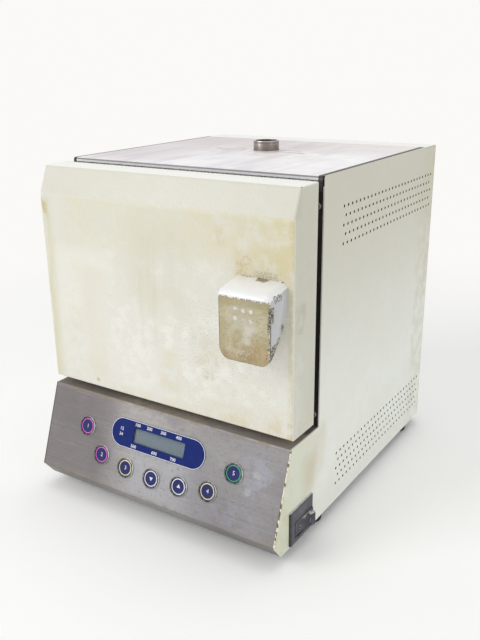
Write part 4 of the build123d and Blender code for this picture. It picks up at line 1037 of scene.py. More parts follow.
def door_finish() -> Enamel:
    """The door's enamel with the stains that heat and hands leave on it, and painted light and shade.

    Returns:
        The finish.
    """
    olive, straw, tan = srgb(206, 200, 160), srgb(216, 210, 176), srgb(204, 182, 130)
    beige, white = srgb(215, 211, 191), srgb(241, 240, 234)
    face, back = DOOR_FRONT - 2.0, DOOR_FRONT + 3.0
    stains = (
        # painted shade: the sloping chamfer is tinted darker than the front
        StainAndLight((-151, DOOR_FRONT + 1.2, 329), (151, -41.6, 353.6), 1.5, srgb(208, 207, 194), 0.5, cover=EVEN),
        # painted light: the door's top is whitened, as for more light from above
        StainAndLight((-151, -41.0, 354.6), (151, back + 60, 356), 0.8, srgb(250, 250, 246), 0.9, cover=EVEN),
        # painted shade: the door's right side is tinted darker, as for a side turned from the lamps
        StainAndLight((149.5, -50.5, 120), (151, -8, 353), 0.6, srgb(188, 190, 171), 0.5, cover=EVEN),
        StainAndLight((-60, face, 170), (60, back, 300), 60, white, 0.45, Grain.MOTTLED, (0.46, 0.66)),
        StainAndLight((-40, face, 126), (130, back, 200), 40, white, 0.6, Grain.MOTTLED, (0.42, 0.62)),
        StainAndLight((-128, face, 160), (-70, back, 260), 24, white, 0.4, Grain.BROAD),
        on_face(-151, 128, -146, 318, 16, olive, 0.6, Grain.STREAKED, (0.34, 0.6)),
        on_face(-151, 300, -146, 323, 9, srgb(190, 178, 124), 0.8),
        on_face(-100, 300, 150, 325, 30, straw, 0.34, cover=WIDE),
        on_face(60, 310, 150, 326, 40, srgb(214, 204, 158), 0.32, cover=WIDE),
        on_face(128, 286, 150, 326, 18, srgb(212, 200, 150), 0.4, cover=WIDE),
        on_face(147, 126, 151, 326, 4.5, srgb(210, 196, 142), 0.5, cover=WIDE),
        on_face(96, 276, 146, 292, 14, srgb(212, 198, 148), 0.45, cover=WIDE),
        on_face(94, 264, 98, 284, 6, srgb(196, 166, 104), 0.65, Grain.FLAKED),
        on_face(101, 287, 105, 291, 5, srgb(198, 172, 110), 0.7, Grain.FLAKED),
        on_face(112, 276, 132, 279, 3, srgb(170, 146, 106), 0.6, Grain.CHIPPED),
        on_face(-20, 246, 24, 300, 34, beige, 0.42, Grain.BROAD, (0.36, 0.6)),
        on_face(-20, 246, 24, 300, 34, beige, 0.3, Grain.STREAKED, (0.36, 0.7)),
        on_face(-16, 190, -2, 290, 12, srgb(213, 206, 182), 0.34, Grain.STREAKED),
        on_face(-92, 150, -76, 250, 18, srgb(220, 213, 190), 0.4, Grain.BROAD),
        on_face(2, 146, 20, 182, 10, srgb(214, 202, 166), 0.45),
        on_face(44, 182, 66, 206, 9, srgb(206, 196, 168), 0.5),
        on_face(54, 168, 62, 172, 6, srgb(190, 180, 156), 0.5, Grain.FLAKED),
        on_face(-60, 124, 150, 128, 12, srgb(220, 210, 174), 0.45),
        on_face(126, 122, 151, 146, 12, tan, 0.35),
        on_face(60, 126, 104, 140, 12, srgb(212, 198, 156), 0.4),
        on_face(-88, 132, -87, 133, 3.0, srgb(172, 156, 100), 0.7, Grain.CHIPPED, (0.3, 0.5)),
        on_face(72, 302, 76, 310, 7, srgb(212, 196, 164), 0.5),
        on_face(-118, 150, -106, 262, 10, srgb(222, 215, 192), 0.3),
        StainAndLight((149, -46, 228), (151, -34, 250), 7, srgb(168, 160, 136), 0.35),
    )
    speck = srgb(158, 151, 130)
    pepper = (
        Pepper((46, face, 184), (90, back, 232), 24, 1.7, 0.42, 0.65, 1.0, speck),
        Pepper((20, face, 140), (140, back, 206), 34, 2.1, 0.40, 0.45, 0.8, speck),
        Pepper((100, face, 276), (140, back, 282), 6, 2.6, 0.42, 0.5, 0.8),
        Pepper((-140, face, 130), (146, back, 322), 20, 6.0, 0.42, 0.35, 0.5, speck),
        Pepper((149.2, face, 124), (151, DOOR_FRONT + 0.8, 322), 0.8, 2.0, 0.5, 0.5, 0.9),
        Pepper((149, -52, 130), (151, -20, 340), 8, 5.0, 0.4, 0.35, 0.5, speck),
        Pepper((149, -50, 226), (151, -34, 252), 6, 1.9, 0.36, 0.4, 0.7),
        Pepper((142, face, 190), (151, DOOR_FRONT + 0.8, 244), 3, 2.4, 0.4, 0.4, 0.8, srgb(150, 116, 92)),
    )
    dark = srgb(84, 74, 58)
    chips = (
        ChipsAndShade((124, DOOR_FRONT - 1, 123), (151, DOOR_FRONT + 1.2, 124.6), 1.0, dark, 0.54),
        ChipsAndShade((149, -42.2, 353.6), (151, -40.4, 355), 0.8, srgb(60, 52, 44), 0.50),
        # a broken dark line along the door's rear top edge, beside the gap
        ChipsAndShade((-150, -13.0, 354.2), (150, -11, 355.2), 0.8, srgb(82, 74, 68), 0.50),
    )
    return Enamel("door_enamel", srgb(222, 221, 210), srgb(231, 230, 221), stains, pepper, chips,
                  yellowing=0.26, dirt=0.5)


def panel_finish() -> PanelEnamel:
    """The side panels' enamel, with painted light on the rear panel's top strip.

    Returns:
        The finish.
    """
    side = 148.0
    stains = (
        StainAndLight((side, -90, 10), (151, -34, 112), 34, srgb(206, 209, 180), 0.55, cover=EVEN),
        StainAndLight((side, -24, 60), (151, -12, 92), 16, srgb(196, 180, 146), 0.4, Grain.BROAD, WIDE),
        StainAndLight((side, -14, 70), (151, 6, 110), 18, srgb(206, 196, 164), 0.4, Grain.BROAD, WIDE),
        StainAndLight((149.2, -90, 11.9), (151, 285, 12.9), 0.3, srgb(250, 249, 240), 0.9, cover=EVEN),
        StainAndLight((side, -82, 16), (151, -58, 90), 10, srgb(204, 204, 160), 0.5),
        StainAndLight((side, 236, 296), (151, 286, 358), 40, srgb(196, 194, 166), 0.35, Grain.BROAD),
        StainAndLight((side, 250, 12), (151, 286, 300), 16, srgb(204, 202, 176), 0.35),
        StainAndLight((-151, 40, 280), (-148, 286, 358), 40, srgb(196, 192, 162), 0.5, Grain.BROAD),
        StainAndLight((-151, 286, 200), (151, 283, 359), 40, srgb(200, 194, 164), 0.45),
        # painted light: the rear panel's top strip is whitened, as for strong light from above
        StainAndLight((-151, 249.4, TOP_Z - 0.2), (151, 287, TOP_Z + 2.0), 0.2, srgb(250, 250, 246), 0.9, cover=EVEN),
    )
    pepper = (Pepper((-151, -60, 14), (151, 286, 358), 10, 13.0, 0.45, 0.35, 0.45),)
    chips = (ChipsAndShade((-151, -60, 12), (-side, 285, 12.6), 0.8, srgb(86, 78, 64), 0.60),)
    return PanelEnamel("ivory_enamel", srgb(209, 207, 192), srgb(240, 243, 236), stains, pepper, chips,
                       yellowing=0.1, fade_from=90.0, fade_to=340.0)


def handle_finish() -> HandleEnamel:
    """The handle's enamel with its chips and a painted contact shadow at its root.

    Returns:
        The finish.
    """
    grey, khaki, pale = srgb(92, 86, 70), srgb(142, 132, 98), srgb(206, 204, 194)
    chips = (
        ChipsAndShade((118.0, -56.0, 271.0), (122.5, -52.5, 276.0), 8.0, khaki, 0.32, srgb(168, 158, 122)),
        ChipsAndShade((142.5, -82.0, 247.0), (146.0, -79.0, 258.0), 5.0, grey, 0.39, pale),
        ChipsAndShade((143.0, -83.5, 222.0), (146.0, -82.5, 250.0), 2.6, grey, 0.42, pale),
        ChipsAndShade((142.0, -82.0, 206.0), (146.0, -73.0, 223.0), 7.0, grey, 0.37, pale),
        ChipsAndShade((143.5, -71.0, 222.0), (146.0, -68.0, 228.0), 5.0, grey, 0.42, pale),
        ChipsAndShade((143.5, -64.0, 231.0), (146.0, -61.0, 239.0), 4.0, grey, 0.44, pale),
        ChipsAndShade((142.5, -76.0, 262.0), (146.0, -64.0, 267.0), 3.0, grey, 0.50, pale),
        ChipsAndShade((100.0, -84.9, 205.0), (146.0, -82.0, 207.5), 1.2, grey, 0.50, pale),
        # painted contact shadow: a broken dark line where the handle's top meets the door
        ChipsAndShade((98.0, -54.0, 273.4), (143.0, -52.0, 276.0), 0.6, srgb(84, 76, 58), 0.52),
    )
    return HandleEnamel("handle_enamel", srgb(244, 245, 246), srgb(238, 240, 242), (), (), chips,
                        roughness=0.16, yellowing=0.03)


def fascia_finish() -> FasciaSteel:
    """The key panel's steel.

    Returns:
        The finish.
    """
    pale, warm = srgb(190, 192, 206), srgb(138, 124, 106)
    smudges = (
        SmudgeAndLight((-150, -53.5, 115.6), (150, -20, 117), 0.8, srgb(146, 134, 118), 0.9, 0.2, 0.8, True),
        SmudgeAndLight((112, -70, 72), (128, -60, 92), 12, srgb(206, 210, 222), 0.7),
        SmudgeAndLight((96, -64, 84), (108, -58, 96), 8, srgb(196, 196, 200), 0.6),
        SmudgeAndLight((72, -66, 86), (80, -62, 92), 5, srgb(196, 196, 200), 0.6),
        SmudgeAndLight((20, -76, 52), (34, -68, 72), 9, srgb(192, 192, 198), 0.6),
        SmudgeAndLight((72, -84, 34), (84, -78, 44), 9, srgb(182, 184, 194), 0.6),
        SmudgeAndLight((-40, -66, 76), (100, -54, 114), 30, srgb(170, 168, 165), 0.5, 0.05),
        SmudgeAndLight((-20, -84, 34), (60, -70, 60), 30, srgb(176, 177, 182), 0.6, 0.05, 0.0, True),
        SmudgeAndLight((110, -68, 70), (130, -58, 96), 18, pale, 0.45),
        SmudgeAndLight((96, -84, 32), (124, -74, 48), 14, srgb(184, 188, 202), 0.5),
        SmudgeAndLight((117, -65, 84), (121, -60, 88), 3, srgb(236, 238, 244), 0.8),
        SmudgeAndLight((112, -72, 66), (114, -66, 70), 3, srgb(226, 230, 238), 0.6),
        SmudgeAndLight((-150, -80, 40), (-80, -54, 116), 40, srgb(112, 107, 107), 0.7, 0.05, 0.0, True),
        SmudgeAndLight((60, -86, 28), (150, -54, 116), 30, srgb(128, 126, 130), 0.45, 0.05, 0.0, True),
        SmudgeAndLight((-150, -56, 114.8), (150, -53, 116.2), 2.0, warm, 0.7, 0.1),
        SmudgeAndLight((-150, -90, 12), (150, -84.6, 30), 4, srgb(150, 138, 120), 0.5, 0.1),
    )
    return FasciaSteel("stainless_fascia", srgb(158, 155, 155), srgb(142, 138, 139), smudges, 0.42, 0.2,
                       0.85)


def top_finish() -> TopSteel:
    """The top plate's steel, with painted light on its front apron.

    Returns:
        The finish.
    """
    smudges = (
        SmudgeAndLight((-150, 40, 350), (-90, 250, 360), 70, srgb(206, 199, 202), 0.7, 0.05, 0.0, True),
        SmudgeAndLight((-150, 190, 350), (150, 250, 360), 60, srgb(210, 203, 201), 0.6, 0.05, 0.0, True),
        SmudgeAndLight((-30, 110, 350), (60, 190, 360), 36, srgb(208, 197, 190), 0.6, 0.1),
        SmudgeAndLight((60, 20, 350), (148, 240, 360), 40, srgb(228, 226, 226), 0.6, 0.05),
        # painted light: the apron strip under the front bend is whitened and dulled, as for light falling on
        # it
        SmudgeAndLight((-150, -1.5, 352.0), (150, 0.6, 356.4), 0.5, srgb(250, 249, 251), 0.9, 0.1, 0.9, True),
    )
    return TopSteel("stainless_top", srgb(247, 246, 248), srgb(230, 228, 232), smudges, 0.38, 0.25, 0.8)


def muffle_soot() -> tuple[StainAndLight, ...]:
    """The brown and grey that burnt wax leaves round the flue and the chamber's mouth.

    Returns:
        The stains.
    """
    brown, grey = srgb(150, 118, 84), srgb(120, 112, 104)
    return (
        StainAndLight((-60, 40, 286), (60, 168, 292), 30, brown, 0.6, Grain.BROAD),
        StainAndLight((-20, 130, 286), (20, 168, 292), 22, grey, 0.7),
        StainAndLight((-78, -2, 280), (78, 8, 300), 12, brown, 0.55),
        StainAndLight((-70, 4, 188), (70, 160, 190), 14, grey, 0.4),
    )


def finishes() -> dict[str, bpy.types.Material]:
    """Builds every finish once.

    Returns:
        The material for each of the record's slots, and for what is printed on the pieces.
    """
    steel_dark = srgb(96, 90, 84)
    paints = (
        panel_finish(), door_finish(), handle_finish(), top_finish(), fascia_finish(),
        Metal("dark_frame", srgb(46, 42, 40), srgb(72, 60, 50), 0.55, 0.6, 0.2),
        Metal("zinc_sheet", srgb(176, 180, 182), srgb(140, 144, 148), 0.4, 0.7),
        Metal("hinge_steel", srgb(150, 146, 142), steel_dark, 0.38, 0.6),
        Metal("screw_steel", srgb(170, 166, 160), steel_dark, 0.3, 0.6),
        Moulded("foot_rubber", srgb(30, 29, 30), srgb(70, 68, 66), 0.7, 0.5, 0.06),
        Fibre("muffle_fibre", srgb(226, 218, 200), srgb(196, 176, 146), 0.25, muffle_soot()),
        Fibre("hearth_ceramic", srgb(206, 192, 168), srgb(168, 144, 116), 0.15),
        Moulded("bush_ceramic", srgb(232, 228, 216), srgb(196, 184, 160), 0.35, 0.4),
        Metal("heater_alloy", srgb(104, 96, 92), srgb(66, 58, 54), 0.55, 0.7, 0.7),
        Fibre("blanket_fibre", srgb(232, 230, 222), srgb(214, 204, 184), 0.4),
        Fibre("seal_rope", srgb(222, 214, 198), srgb(164, 144, 118), 0.2),
        Metal("terminal_brass", srgb(196, 160, 92), srgb(128, 98, 56), 0.3, 0.5),
        Metal("probe_steel", srgb(168, 160, 154), srgb(120, 96, 84), 0.3, 0.6),
        Pipe("flue_steel", srgb(150, 143, 140), srgb(116, 105, 98), 0.3, 0.7),
        Moulded("magnet_black", srgb(34, 34, 36), srgb(66, 64, 62)),
        # switch_black: its plate's top edge rubbed pale and partly painted light; painted shade on its front
        # edge and under the top edge
        Scuffed("switch_black", srgb(62, 61, 70), srgb(124, 121, 128), srgb(204, 202, 204), (
            ((149.9, -57.0, 50.1), (151.2, -13.0, 50.8)),), (
                ((149.9, -58.0, 2.0), (151.8, -54.4, 49.4)), ((149.9, -57.0, 48.4), (151.8, -13.0, 49.4)))),
        # rocker_black: rubbed pale in three places, and partly painted light on its top faces
        Scuffed("rocker_black", srgb(46, 47, 60), srgb(104, 102, 112), srgb(206, 205, 202), (
            ((150.6, -24.0, 33.2), (158.0, -15.0, 36.0)), ((150.0, -34.0, 24.0), (151.6, -30.0, 28.0)),
            ((150.6, -34.0, 33.4), (152.6, -24.0, 36.0)))),
        Moulded("plunger_red", srgb(168, 40, 36), srgb(190, 90, 80)),
        Moulded("label_blue", srgb(22, 40, 109), srgb(32, 52, 118), 0.4, 0.5, 0.008, 0.12),
        ClearWindow("window_clear"),
        DisplayGlass("lcd_grey"),
        CircuitBoard("board_green"),
        Moulded("key_black", srgb(36, 36, 38), srgb(80, 78, 76)),
        Bezel("bezel_chrome", srgb(224, 223, 226), srgb(140, 134, 134), 0.16, 0.6),
        Moulded("cap_navy", srgb(30, 38, 100), srgb(48, 58, 116), 0.3, 0.5, 0.01, 0.3),
        Metal("post_steel", srgb(184, 182, 176), srgb(140, 136, 130), 0.3, 0.4),
        Metal("core_steel", srgb(84, 80, 78), srgb(120, 88, 60), 0.5, 0.6),
        Moulded("relay_grey", srgb(96, 100, 106), srgb(140, 142, 144)),
        Moulded("gland_grey", srgb(64, 66, 70), srgb(110, 108, 106), 0.5, 0.5),
        Moulded("print_white", srgb(232, 232, 236), srgb(206, 206, 212), 0.4, 0.5, 0.005),
        Moulded("print_grey", srgb(132, 130, 132), srgb(92, 90, 92), 0.5, 0.7, 0.005),
        Moulded("print_magenta", srgb(216, 96, 200), srgb(228, 140, 214), 0.35, 0.5, 0.005),
        Moulded("print_cream", srgb(226, 220, 170), srgb(204, 198, 160), 0.35, 0.5, 0.005),
        Moulded("print_green", srgb(56, 160, 116), srgb(96, 180, 142), 0.35, 0.5, 0.005),
    )
    return {paint.name: paint.make() for paint in paints}


# Modelling


@contextmanager
def editing(piece: bpy.types.Object) -> Iterator[None]:
    """Keeps a piece in edit mode while its shape is worked.

    Args:
        piece: The object to work on.

    Returns:
        A context; the piece is back in object mode after it.
    """
    focus(piece)
    bpy.ops.object.mode_set(mode="EDIT")
    yield
    bpy.ops.object.mode_set(mode="OBJECT")


def focus(piece: bpy.types.Object) -> None:
    """Makes a piece the only selected and the active object.

    Args:
        piece: The object.
    """
    bpy.ops.object.select_all(action="DESELECT")
    piece.select_set(True)
    bpy.context.view_layer.objects.active = piece


def pick(piece: bpy.types.Object, kind: str, test: Callable[..., bool]) -> None:
    """Selects, in edit mode, what passes a test, and nothing else.

    Args:
        piece: The object in edit mode.
        kind: "VERT", "EDGE" or "FACE".
        test: Takes one element and says whether it is wanted.
    """
    bpy.ops.mesh.select_mode(type=kind)
    bpy.ops.mesh.select_all(action="DESELECT")
    mesh = bmesh.from_edit_mesh(piece.data)
    for element in {"VERT": mesh.verts, "EDGE": mesh.edges, "FACE": mesh.faces}[kind]:
        if test(element):
            element.select_set(True)
    mesh.select_flush_mode()
    bmesh.update_edit_mesh(piece.data)


def face_outward() -> None:
    """Turns the faces of the mesh in edit mode outwards."""
    bpy.ops.mesh.select_all(action="SELECT")
    bpy.ops.mesh.normals_make_consistent(inside=False)


def thicken(height: float) -> None:
    """Draws the flat mesh in edit mode up by a height in millimetres."""
    bpy.ops.mesh.select_all(action="SELECT")
    bpy.ops.mesh.extrude_region_move(TRANSFORM_OT_translate={"value": (0, 0, height * MM)})


def soften(piece: bpy.types.Object, width: float, segments: int, test: Callable[..., bool]) -> None:
    """Bevels, in edit mode, the edges that pass a test, by a width in millimetres."""
    pick(piece, "EDGE", test)
    bpy.ops.mesh.bevel(offset=width * MM, segments=segments, affect="EDGES")


def slide(piece: bpy.types.Object, move: Point, test: Callable[..., bool]) -> None:
    """Moves, in edit mode, the corners that pass a test, by millimetres."""
    pick(piece, "VERT", test)
    bpy.ops.transform.translate(value=tuple(Vector(move) * MM))


def span(edge: bmesh.types.BMEdge) -> Vector:
    """How far an edge runs along each axis, in millimetres."""
    return Vector(abs(a - b) for a, b in zip(edge.verts[0].co, edge.verts[1].co)) / MM


def named(name: str) -> bpy.types.Object:
    """Gives the active object its name.

    Args:
        name: The name, for its mesh too.

    Returns:
        The object.
    """
    piece = bpy.context.active_object
    piece.name = piece.data.name = name
    return piece


def settle(piece: bpy.types.Object, place: Matrix | None = None) -> bpy.types.Object:
    """Puts a piece's place into its mesh, so that the object stands at the origin.

    Args:
        piece: The object.
        place: A placement to give it first.

    Returns:
        The same object.
    """
    focus(piece)
    if place is not None:
        piece.matrix_world = place @ piece.matrix_world
        bpy.context.view_layer.update()
    bpy.ops.object.transform_apply(location=True, rotation=True, scale=True)
    return piece


def block(name: str, low: Vector, high: Vector) -> bpy.types.Object:
    """A box as a start.

    Args:
        name: The piece's name.
        low: Its lowest corner, in metres.
        high: Its highest corner.

    Returns:
        The box.
    """
    bpy.ops.object.select_all(action="DESELECT")
    bpy.ops.mesh.primitive_cube_add(size=1.0, location=(low + high) / 2)
    piece = named(name)
    piece.scale = high - low
    return settle(piece)


def turned(name: str, profile: Sequence[tuple[float, float]], steps: int,
           joined: bool = False) -> bpy.types.Object:
    """A shape turned about Z from a profile of radius and height in millimetres.

    Args:
        name: The piece's name.
        profile: The profile's corners, from one end to the other.
        steps: How many sides the round has.
        joined: Whether the last corner meets the first, as on a pipe; else a face closes each end.

    Returns:
        The turned object, round the origin.
    """
    bpy.ops.object.select_all(action="DESELECT")
    first = profile[0]
    bpy.ops.mesh.primitive_circle_add(vertices=steps, radius=first[0] * MM, location=(0, 0, first[1] * MM))
    piece = settle(named(name))
    corners = [*profile, first] if joined else list(profile)
    with editing(piece):
        bpy.ops.mesh.select_all(action="SELECT")
        for (r0, z0), (r1, z1) in zip(corners, corners[1:]):
            bpy.ops.mesh.extrude_edges_move(TRANSFORM_OT_translate={"value": (0, 0, (z1 - z0) * MM)})
            grow = r1 / r0
            bpy.ops.transform.resize(value=(grow, grow, 1.0), center_override=(0, 0, z1 * MM))
        if joined:
            bpy.ops.mesh.select_all(action="SELECT")
            bpy.ops.mesh.remove_doubles(threshold=0.00001)
        else:
            bpy.ops.mesh.edge_face_add()
            pick(piece, "EDGE", lambda e: all(
                abs(v.co.z - first[1] * MM) < 1e-6 and abs(v.co.xy.length - first[0] * MM) < 1e-6
                for v in e.verts) and len(e.link_faces) == 1)
            bpy.ops.mesh.edge_face_add()
        face_outward()
    return piece


def finished(piece: bpy.types.Object, modifier: str, **settings: object) -> bpy.types.Object:
    """Adds a modifier and applies it.

    Args:
        piece: The object.
        modifier: The modifier's type.
        **settings: Its properties.

    Returns:
        The same object.
    """
    focus(piece)
    step = piece.modifiers.new(modifier.lower(), modifier)
    for key, value in settings.items():
        setattr(step, key, value)
    bpy.ops.object.modifier_apply(modifier=step.name)
    return piece


def smoothed(piece: bpy.types.Object, angle: float = 35.0) -> bpy.types.Object:
    """Shades a piece smooth.

    Args:
        piece: The object.
        angle: Edges sharper than this many degrees stay sharp.

    Returns:
        The same object.
    """
    focus(piece)
    bpy.ops.object.shade_smooth_by_angle(angle=radians(angle))
    return piece


def twin(piece: bpy.types.Object, name: str, place: Matrix) -> bpy.types.Object:
    """A copy of a piece with its own mesh.

    Args:
        piece: The object to copy.
        name: The copy's name.
        place: Its placement.

    Returns:
        The copy.
    """
    focus(piece)
    bpy.ops.object.duplicate(linked=False)
    return settle(named(name), place)


def merged(name: str, pieces: Sequence[bpy.types.Object]) -> bpy.types.Object:
    """Joins pieces into one object, keeping their materials.

    Args:
        name: The whole's name.
        pieces: The objects.

    Returns:
        The whole.
    """
    bpy.ops.object.select_all(action="DESELECT")
    for piece in pieces:
        piece.select_set(True)
    bpy.context.view_layer.objects.active = pieces[0]
    bpy.ops.object.join()
    return named(name)


def printed(word: str, size: float, height: float, swell: float = 0.0,
            fineness: int = 3) -> bpy.types.Object:
    """A number as a thin raised print, lying on XY.

    Args:
        word: The number.
        size: Its letters' size, in millimetres.
        height: Its thickness, in millimetres.
        swell: How much bolder its strokes are, in millimetres.
        fineness: How finely its curves are divided.

    Returns:
        The print.
    """
    bpy.ops.object.select_all(action="DESELECT")
    bpy.ops.object.text_add()
    text = bpy.context.object.data
    text.body, text.size, text.offset, text.resolution_u = word, size * MM, swell * MM, fineness
    text.align_x = text.align_y = "CENTER"
    bpy.ops.object.convert(target="MESH")
    mark = settle(named("print"))
    with editing(mark):
        thicken(height)
    return mark


@dataclass
class Assembly:
    """A group of pieces that is built and dressed together."""

    paints: dict[str, bpy.types.Material]

    def place(self, piece: bpy.types.Object, body: str, slot: str, *replaced: str) -> None:
        """Hands a finished piece over.

        Args:
            piece: The object.
            body: The body that it rides on.
            slot: The record's slot of its finish; not used.
            *replaced: The solids that it stands for.
        """
        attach(piece, body)
        if replaced:
            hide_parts(*replaced)
        log.info("%s rides on %s: %d faces", piece.name, body, len(piece.data.polygons))

    def coat(self, piece: bpy.types.Object, *slots: str) -> None:
        """Puts finishes on a piece's material slots.

        Args:
            piece: The object.
            *slots: The finishes' names, in order.
        """
        piece.data.materials.clear()
        for slot in slots:
            piece.data.materials.append(self.paints[slot])


@dataclass
class Door(Assembly):
    """The painted pan of the door, folded from one sheet."""

    sheet: float = 1.2
    chamfer_depth: float = 11.7
    chamfer_height: float = 27.9
    corner: float = 2.6
    fold: float = 3.2

    def build(self) -> None:
        """Models and dresses the pan."""
        pan = block("door_pan", at(-HALF_WIDTH, DOOR_FRONT, DOOR_LOW), at(HALF_WIDTH, DOOR_BACK, DOOR_HIGH))
        crease = DOOR_HIGH - self.chamfer_height
        lean = Vector((0.0, -self.chamfer_height, self.chamfer_depth)).normalized()
        with editing(pan):
            bpy.ops.mesh.select_all(action="SELECT")
            bpy.ops.mesh.bisect(plane_co=at(0, DOOR_FRONT, crease), plane_no=lean, use_fill=True,
                                clear_outer=True)
            soften(pan, self.fold, 4, lambda e: self.is_fold(e, crease))
            soften(pan, self.corner, 4, lambda e: self.is_fold(e, DOOR_HIGH) or self.is_rim(e))
            pick(pan, "FACE", lambda f: f.normal.y > 0.9)
            bpy.ops.mesh.delete(type="FACE")
        finished(pan, "SOLIDIFY", thickness=self.sheet * MM, offset=-1.0, use_even_offset=True)
        self.coat(smoothed(pan), "door_enamel")
        self.place(pan, "door", "ivory_enamel", "door_shell")

    def is_fold(self, edge: bmesh.types.BMEdge, height: float) -> bool:
        """Whether an edge runs across the door's front.

        Args:
            edge: The edge.
            height: At which height, in casing millimetres.

        Returns:
            True for such an edge.
        """
        ends = [(v.co - SHIFT) / MM for v in edge.verts]
        level = all(abs(e.z - height) < 0.1 and e.y < DOOR_BACK - 5 for e in ends)
        return level and span(edge).x > HALF_WIDTH

    def is_rim(self, edge: bmesh.types.BMEdge) -> bool:
        """Whether an edge lies round the sides and foot of the door's front.

        Args:
            edge: The edge.

        Returns:
            True for such an edge.
        """
        ends = [(v.co - SHIFT) / MM for v in edge.verts]
        upright = all(abs(abs(e.x) - HALF_WIDTH) < 0.1 for e in ends) and span(edge).z > 0.3
        foot = all(abs(e.z - DOOR_LOW) < 0.1 for e in ends) and span(edge).x > HALF_WIDTH
        return all(e.y <= DOOR_BACK - 1 for e in ends) and (upright or foot)


@dataclass
class Handle(Assembly):
    """The hood-shaped pull: thick walls, a sloping roof and an open underside."""

    centre: float = 119.0
    width: float = 51.0
    depth: float = 31.6
    wall: float = 4.0
    root: tuple[float, float] = (245.0, 274.5)
    nose: tuple[float, float] = (206.5, 268.5)
    # Radii of the edges that run back: above on the right, and below on the left and right
    crown: float = 8.0
    chins: tuple[float, float] = (11.0, 9.0)
    lip: float = 4.6

    def build(self) -> None:
        """Models and dresses the pull."""
        half, front = self.width / 2, DOOR_FRONT - self.depth
        waist = (self.nose[0] + self.root[1]) / 2 * MM
        hood = block("handle_hood", at(self.centre - half, front, self.nose[0]),
                     at(self.centre + half, DOOR_FRONT, self.root[1]))
        root_line, middle = at(0, DOOR_FRONT, 0).y, at(self.centre, 0, 0).x
        under = Vector((0.0, self.root[0] - self.nose[0], -self.depth)).normalized()
        with editing(hood):
            for right, high, radius in ((True, True, self.crown), (False, False, self.chins[0]),
                                        (True, False, self.chins[1])):
                soften(hood, radius, 8, lambda e: span(e).y > self.depth * 0.9
                       and (e.verts[0].co.x > middle) == right and (self.level(e) > waist) == high)
            slide(hood, (0, 0, self.nose[1] - self.root[1]),
                  lambda v: v.co.y < root_line - MM and v.co.z > waist)
            nose_line, crown_foot = at(0, front, 0).y, (self.nose[1] - self.crown - 1.0) * MM
            soften(hood, self.lip, 6, lambda e: all(abs(v.co.y - nose_line) < 1e-5 for v in e.verts)
                   and min(v.co.z for v in e.verts) > crown_foot)
            pick(hood, "FACE", lambda f: f.normal.y > 0.95)
            bpy.ops.mesh.delete(type="FACE")
        finished(hood, "SOLIDIFY", thickness=self.wall * MM, offset=-1.0, use_even_offset=True)
        with editing(hood):
            bpy.ops.mesh.select_all(action="SELECT")
            bpy.ops.mesh.bisect(plane_co=at(0, front, self.nose[0] + 0.3), plane_no=under, use_fill=True,
                                clear_outer=True)
        finished(hood, "BEVEL", width=0.6 * MM, segments=3, limit_method="ANGLE", angle_limit=radians(60))
        self.coat(smoothed(hood, 40.0), "handle_enamel")
        self.place(hood, "door", "handle_enamel", "door_handle")

    def level(self, edge: bmesh.types.BMEdge) -> float:
        """How high an edge's front end lies."""
        return min(edge.verts, key=lambda v: v.co.y).co.z


class Mark(Enum):
    """The triangle that a key carries in its middle, by its turn."""

    UP = 0.0
    DOWN = pi


@dataclass(frozen=True)
class Key:
    """One key: its number, place on the slope, the ring's print and its mark."""

    number: int
    x: float
    down: float
    ring: str
    mark: Mark | str


